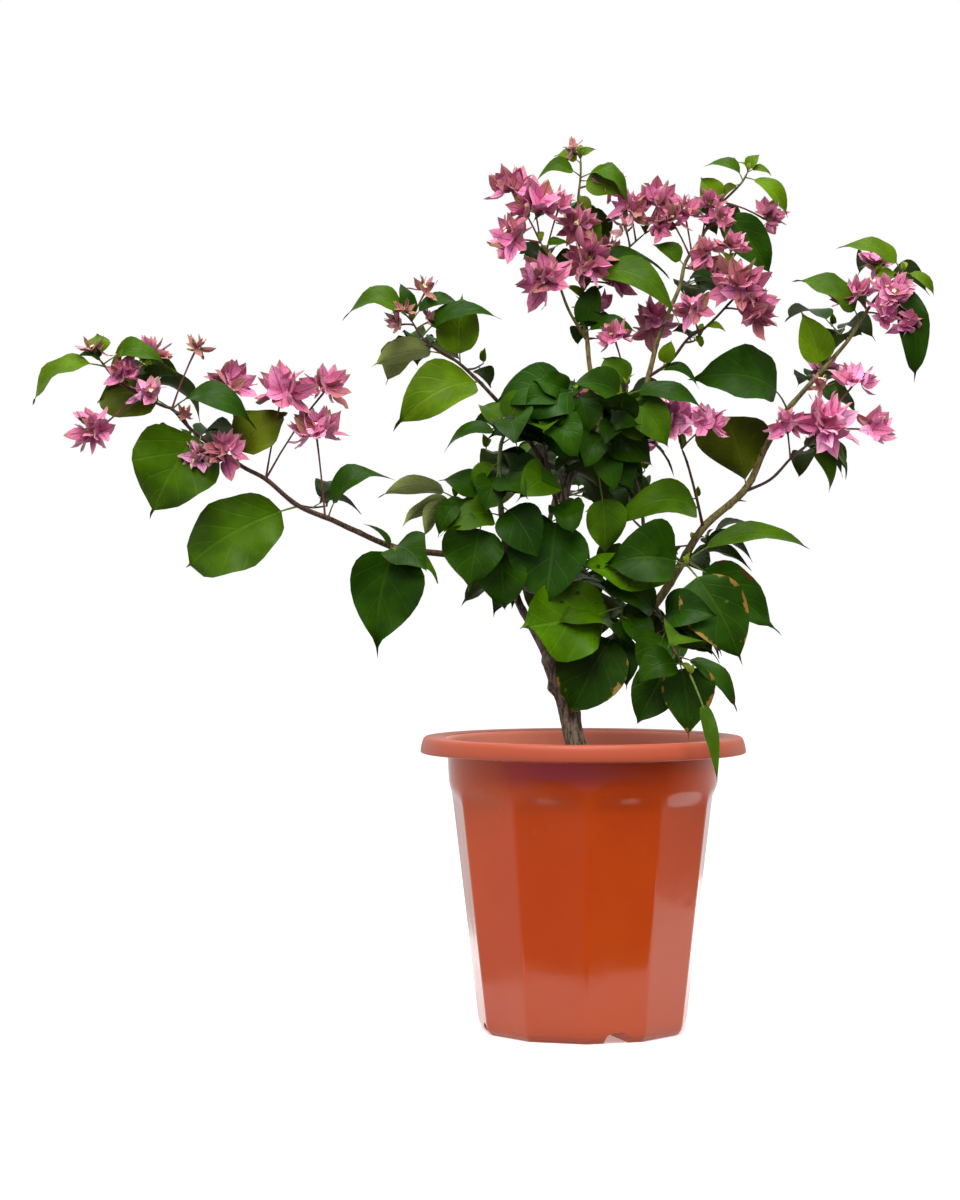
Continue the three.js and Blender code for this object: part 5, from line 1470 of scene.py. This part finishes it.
def fissures(angle, run, seed):
    """Long cracks: one less the size of a wave round the limb whose phase wanders along it."""
    wander = 1.4 * np.sin(run * 0.11 + seed) + 0.9 * np.sin(run * 0.27 + 2 * angle + seed)
    coarse = 1 - np.abs(np.sin(4 * angle + wander))
    fine = 1 - np.abs(np.sin(9 * angle - 1.6 * wander + 0.6 * np.sin(run * 0.5)))
    breaks = np.sin(run * 0.62 + 3 * angle + 1.7 * np.sin(run * 0.13 + seed))
    return 0.62 * coarse**3 + 0.38 * fine**3 + 0.12 * np.maximum(0, breaks) ** 4


def limb_surface(limb, step, sides, depth, seed):
    """A limb's corners: its line, with a radius that tapers, flares at the foot, swells at every
    scar, and sinks in the fissures."""
    line = smooth_line(limb["points"], step)
    share = np.linspace(0, 1, len(line))[:, None]
    run = share * step * (len(line) - 1)
    angle = (2 * np.pi * np.arange(sides) / sides)[None]
    thick, thin = limb["radii"]
    radii = thick + (thin - thick) * share + limb.get("flare", 0.0) * np.exp(-share * 9)
    trunk = limb["name"] == "trunk"
    if not trunk:
        radii = radii * (1 + COLLAR * np.exp(-run / COLLAR_REACH))
    scars = np.exp(-(((run % SCAR_STEP) - SCAR_PLACE) / SCAR_WIDTH) ** 2) * (1 + np.cos(angle - run * 0.4))
    radii = radii * (1 + (0.0 if trunk else SCAR_SIZE) * scars) - depth * fissures(angle, run, seed)
    for height, side, size in limb.get("knots", []):
        off = ((run - height) / KNOT_REACH) ** 2 + 4 * (1 - np.cos(angle - np.radians(side)))
        radii = radii + size * np.exp(-off)
    radii = radii + 0.03 * thick * np.sin(2 * angle + run * 0.05) * np.sin(run * 0.09)
    rounded = np.sqrt(np.clip((1 - share) * run[-1] / thick, 0.08, 1))
    return line, radii * (rounded if trunk else 1.0)


# %% Define the bark finishes
def bark_finish(name, ridge, crack, grain, depth):
    """Bark: streaks along the limb between two colours, pale flecks, and a relief of the grain."""
    material, tree, shader = new_finish(name, Roughness=0.85)
    place = object_place(tree, (1.0, 1.0, 0.22))
    streaks = noise(tree, place, grain, 6.0, 0.65)
    body = blend(tree, ramp(tree, streaks, 0.38, 0.6), paint(*crack), paint(*ridge))
    flecks = ramp(tree, noise(tree, object_place(tree), grain * 2.2, 2.0), 0.62, 0.72)
    pale = paint(*[min(255, part * 1.35) for part in ridge])
    body = blend(tree, times(tree, flecks, 0.55), body, pale)
    colour_by(tree, shader, body)
    add_bump(tree, shader, streaks, depth)
    return material


bark_materials = [
    bark_finish("trunk_bark", (128, 114, 96), (52, 44, 34), 420.0, 0.0018),
    bark_finish("brown_bark", (92, 70, 52), (50, 34, 26), 420.0, 0.0008),
    bark_finish("olive_bark", (116, 106, 62), (82, 68, 42), 420.0, 0.0008),
]
TRUNK_BARK, BROWN_BARK, OLIVE_BARK = range(3)
LIMB_BARK = {
    "trunk": TRUNK_BARK, "leader": TRUNK_BARK, "left_stem": TRUNK_BARK,
    "right_bough": OLIVE_BARK, "centre_bough": OLIVE_BARK, "right_centre_bough": OLIVE_BARK,
}

# %% Make the trunk and the boughs
bark = Batch()
for seed, limb in enumerate(LIMBS):
    trunk = limb["name"] == "trunk"
    step, sides, depth = (1.2, 48, 1.3) if trunk else (2.0, 20, 0.22)
    line, radii = limb_surface(limb, step, sides, depth, seed)
    add_rods(bark, line[None], radii[None], sides, LIMB_BARK.get(limb["name"], BROWN_BARK))
bark.make("bark", bark_materials, [limb["name"] for limb in LIMBS], "bark", crease=75)

# %% [markdown]
# ## The pot
#
# The pot is moulded from glossy orange plastic. Eleven flat panels run up its wall to arched tops
# under a round neck, and a rolled rim stands out from it. Panels could be cut with a
# knife tool, but as a formula the wall is one surface: each row has a radius, a height and a
# share of flatness, and the arch is a matter of where along the panel the flatness ends.

# %% Define the pot's wall
PANELS, PANEL_STEPS = 11, 36
STEPS = PANELS * PANEL_STEPS
HEEL_RADIUS, HEEL, SHOULDER_RADIUS, SHOULDER = 85.0, 9.0, 105.8, 185.0
WALL = 2.2
WALL_SLOPE = (SHOULDER_RADIUS - HEEL_RADIUS) / (SHOULDER - HEEL)
ARCH_FOOT, ARCH_RISE, ARCH_FADE = 174.5, 6.0, 18.0
turn = 2 * np.pi * np.arange(STEPS) / STEPS - np.pi / 2
in_panel = (np.arange(STEPS) % PANEL_STEPS) / PANEL_STEPS - 0.5


def panel_factor():
    """How far in a flat panel lies at each step: the panel's middle distance over the cosine of
    the angle from its middle. The ridges between panels are slightly rounded."""
    half = np.pi / PANELS
    flat = np.cos(half) / np.cos(2 * half * in_panel)
    return np.minimum(flat, 0.998)


def arch_top():
    """Height where a panel ends: an arch that is highest over the panel's middle."""
    return ARCH_FOOT + ARCH_RISE * np.sqrt(np.clip(1 - np.abs(2 * in_panel) ** 3.5, 0, 1))


def wall_radius(radius, height, inset=0.0):
    """Radius round the pot at a row: flat panels below the arches, round above them."""
    share = np.clip((height - arch_top()) / ARCH_FADE, 0, 1)
    share = share * share * (3 - 2 * share)
    return (radius - inset) * (panel_factor() * (1 - share) + share)


def slope_radius(height):
    """Radius of the sloping wall at a height."""
    return HEEL_RADIUS + WALL_SLOPE * (height - HEEL)


print("panel middles lie", round(SHOULDER_RADIUS * (1 - panel_factor().min()), 2), "mm in at the shoulder")

# %% Define the drain channels
DRAIN_TURNS = np.radians(17.5 + 90 * np.arange(4))
DRAIN_HALF, DRAIN_HIGH, DRAIN_INNER, HOLE_OUT, HOLE_RADIUS = 9.0, 8.0, 30.0, 55, 4.0


def drain_height(x, y, grow=0.0):
    """Height of the channels' roof over a point of the foot: zero outside them, straight sides to
    a third of the height, and an elliptical arch above."""
    height = np.zeros_like(x)
    for drain in DRAIN_TURNS:
        along = x * np.sin(drain) - y * np.cos(drain)
        aside = x * np.cos(drain) + y * np.sin(drain)
        across = np.clip(1 - (aside / (DRAIN_HALF + grow)) ** 2, 0, 1)
        roof = (DRAIN_HIGH + grow) * (0.35 * (across > 0) + 0.65 * np.sqrt(across))
        height = np.maximum(height, roof * (along > DRAIN_INNER - grow))
    return height


def drain_hole(x, y):
    """True inside one of the four round holes in the channels' roofs."""
    centre = HOLE_OUT * np.stack([np.sin(DRAIN_TURNS), -np.cos(DRAIN_TURNS)], axis=1)
    return np.min([np.hypot(x - cx, y - cy) for cx, cy in centre], axis=0) < HOLE_RADIUS


# %% Build the pot's rows
def pot_row(radius, height):
    """One ring of corners from a radius and a height at each step."""
    radius, height = np.broadcast_to(radius, STEPS), np.broadcast_to(height, STEPS)
    return np.stack([radius * np.cos(turn), radius * np.sin(turn), height], axis=1)


def foot_row(share):
    """A ring of the underside, at a share of the way from the centre to the foot's edge."""
    radius = share * wall_radius(FOOT_RADIUS, 0.0)
    return radius, radius * np.cos(turn), radius * np.sin(turn)


FOOT_RADIUS, HEEL_TOP, FLOOR, INNER_LIP_ROWS = 80.0, 12.0, 3.0, 6
OUTSIDE, INSIDE = 0, 1
RIM_PROFILE = [
    (107.3, 199), (108.0, 210), (108.3, 217), (108.5, 219.2), (110, 220.4), (118, 220.9), (126, 221.1),
    (129.0, 221.2), (129.9, 221.8), (130.0, 223.0), (129.6, 226), (128.6, 230), (127.6, 232.6),
    (126.2, 233.8), (124.5, 234.0), (118, 233.8), (112.5, 233.6), (110, 232.8), (108.7, 231.2),
    (108.0, 229.0), (107.4, 222), (106.4, 215), (105.2, 205),
]
rows = []
for share in np.concatenate([[0.02], np.linspace(0.06, 1.0, 34)]):
    radius, x, y = foot_row(share)
    roof = drain_height(x, y)
    rows.append(pot_row(radius, np.where(drain_hole(x, y), roof + WALL * 0.8, roof)))
notch = drain_height(*foot_row(1.0)[1:])
for share in (0.12, 0.3, 0.5, 0.75, 1.0):
    height = notch + (HEEL_TOP - notch) * share
    radii = [FOOT_RADIUS, 83.4, HEEL_RADIUS, slope_radius(HEEL_TOP)]
    profile = np.interp(height, [0, 2.6, HEEL, HEEL_TOP], radii)
    rows.append(pot_row(wall_radius(profile, height), height))
for height in np.concatenate([np.linspace(20, 172, 20), np.arange(175, 196, 1.5)]):
    rows.append(pot_row(wall_radius(slope_radius(height), height), height))
rows += [pot_row(radius, height) for radius, height in RIM_PROFILE]
inside_start = len(rows) - INNER_LIP_ROWS
for height in np.concatenate([np.arange(195, 174, -2.0), np.linspace(170, 14, 14)]):
    rows.append(pot_row(wall_radius(slope_radius(height), height, WALL), height))
for share in np.concatenate([np.linspace(0.985, 0.06, 26), [0.02]]):
    radius = share * (slope_radius(FLOOR) - WALL) * panel_factor()
    hump = drain_height(radius * np.cos(turn), radius * np.sin(turn), WALL)
    rows.append(pot_row(radius, np.maximum(FLOOR, hump)))
pot_grid = np.array(rows)
print("the pot's surface has", pot_grid.shape[0], "rows of", pot_grid.shape[1], "corners")

# %% [markdown]
# The rows are joined from the middle of the underside, up the wall, over the rim, and down to the
# middle of the floor inside, so the pot is one closed shell with a real wall.

# %% Make the pot
RIM_START = (0.2196, 0.2206)


def shell(grid, cut=1):
    """A closed shell from rings of corners: walls between rings, parted at the ring where it is
    cut into two finishes, and a point at both ends."""
    rings, sides = grid.shape[:2]
    ends = grid[[0, -1]].mean(axis=1)
    corners = np.concatenate([grid.reshape(-1, 3), ends])[None]
    wall, points = rod_pattern(rings, sides)
    return corners, [wall[: cut * sides], wall[cut * sides :], points]


def pot_finish(name, colour, cloudy, rim_tone_and_sheen):
    """Moulded plastic: an even orange with faint clouding, fine scuffs, and a soft
    unevenness that breaks up the reflections."""
    material, tree, shader = new_finish(name, Roughness=0.2, IOR=1.42)
    place = object_place(tree)
    cloud = ramp(tree, noise(tree, place, 9.0, 4.0), 0.3, 0.7)
    body = blend(tree, cloud, paint(*colour), paint(*cloudy))
    height = put(tree, "SeparateXYZ", {0: place}).outputs[2]
    # Above the rim's start the colour turns to the rim's: a duller tone, partly the rim's satin finish and
    # partly painted sheen, the sky mirrored on the rim.
    rim = ramp(tree, height, *RIM_START)
    body = blend(tree, rim, body, paint(*rim_tone_and_sheen))
    scuffs = ramp(tree, noise(tree, object_place(tree, (1.0, 1.0, 0.3)), 160.0, 6.0, 0.7), 0.68, 0.76)
    body = blend(tree, times(tree, scuffs, 0.25), body, paint(206, 110, 76))
    colour_by(tree, shader, body)
    rough = ramp(tree, noise(tree, place, 24.0), 0.3, 0.8, 0.1, 0.2)
    tree.links.new(reckon(tree, "ADD", rough, times(tree, rim, 0.3)), shader.inputs["Roughness"])
    add_bump(tree, shader, noise(tree, place, 22.0, 3.0), 0.0016, 0.3)
    return material


pot = Batch()
corners, pattern = shell(pot_grid, inside_start)
pot.add(corners, pattern, [OUTSIDE, INSIDE, OUTSIDE])
pot_materials = [
    pot_finish("pot_plastic", (188, 68, 17), (194, 74, 20), (164, 75, 50)),
    # The inside finish is the same plastic painted much paler: painted light and painted reflection of the
    # sky, for the inner lip and the inner wall in the crown's shade.
    pot_finish("pot_inside_painted_light", (240, 130, 102), (244, 140, 114), (238, 138, 112)),
]
pot.make("plastic_pot", pot_materials, ["pot"], "pot", crease=35)

# %% [markdown]
# ## The potting mix
#
# The mix is dark and crumbly, with bark chips and pale grit. It ends a little under the rim. Its top
# is a disc whose height is a sum of waves of several sizes, and its sides follow the pot's wall.

# %% Make the potting mix
SOIL_TOP, MIX_FOOT, MIX_GAP = 205.2, 14.0, 0.5


def crumbs(x, y):
    """Height of the crumbs at a point: three crossed waves, each twice as fine as the last, with
    their peaks rounded and a slow swell under them."""
    height = 0.5 * np.sin(0.05 * x + 1.0) * np.sin(0.06 * y)
    for size, scale in ((0.9, 0.35), (0.6, 0.8), (0.4, 1.7)):
        warp = 1.5 * np.sin(0.21 * scale * y + size) + np.sin(0.33 * x)
        height = height + size * np.abs(np.sin(scale * x + warp) * np.sin(scale * y - warp)) ** 0.6
    return height - 0.9


rows = []
for share in np.concatenate([np.linspace(0.96, 0.06, 4), [0.02]])[::-1]:
    rows.append(pot_row(share * (slope_radius(MIX_FOOT) - WALL - 2) * panel_factor(), MIX_FOOT))
for height in (MIX_FOOT, 60.0, 120.0, 165.0, 177.0, 185.0, 190.0, 196.0, 201.0):
    inside = slope_radius(height) - WALL - MIX_GAP
    rows.append(pot_row(wall_radius(inside, height), height))
for share in np.concatenate([np.linspace(1.0, 0.03, 70), [0.012]]):
    radius = share * (slope_radius(SOIL_TOP) - WALL - MIX_GAP)
    rise = crumbs(radius * np.cos(turn), radius * np.sin(turn))
    rows.append(pot_row(radius, SOIL_TOP + rise * np.minimum(1, (1 - share) * 8)))


def mix_finish():
    """Damp potting mix: dark brown crumbs, paler chips and a few grains of grit."""
    material, tree, shader = new_finish("potting_mix", Roughness=0.95)
    place = object_place(tree)
    crumb = noise(tree, place, 240.0, 5.0, 0.7)
    body = blend(tree, ramp(tree, crumb, 0.35, 0.65), paint(36, 26, 20), paint(88, 66, 48))
    grit = ramp(tree, noise(tree, place, 520.0, 1.0), 0.72, 0.76)
    colour_by(tree, shader, blend(tree, grit, body, paint(196, 188, 172)))
    add_bump(tree, shader, crumb, 0.002)
    return material


soil = Batch()
corners, pattern = shell(np.array(rows))
soil.add(corners, pattern, 0)
soil.make("mix", [mix_finish()], ["potting_mix"], "soil", crease=80)

# %% [markdown]
# ## The two boxes
#
# The frame's box and the dressed plant's box are printed side by side.

# %% Print the two boxes
boxes = {"cad": cad_box, "visual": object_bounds()}
{name: [list(corner) for corner in box] for name, box in boxes.items()}
print("boxes written:", {name: np.round(box, 4).tolist() for name, box in boxes.items()})
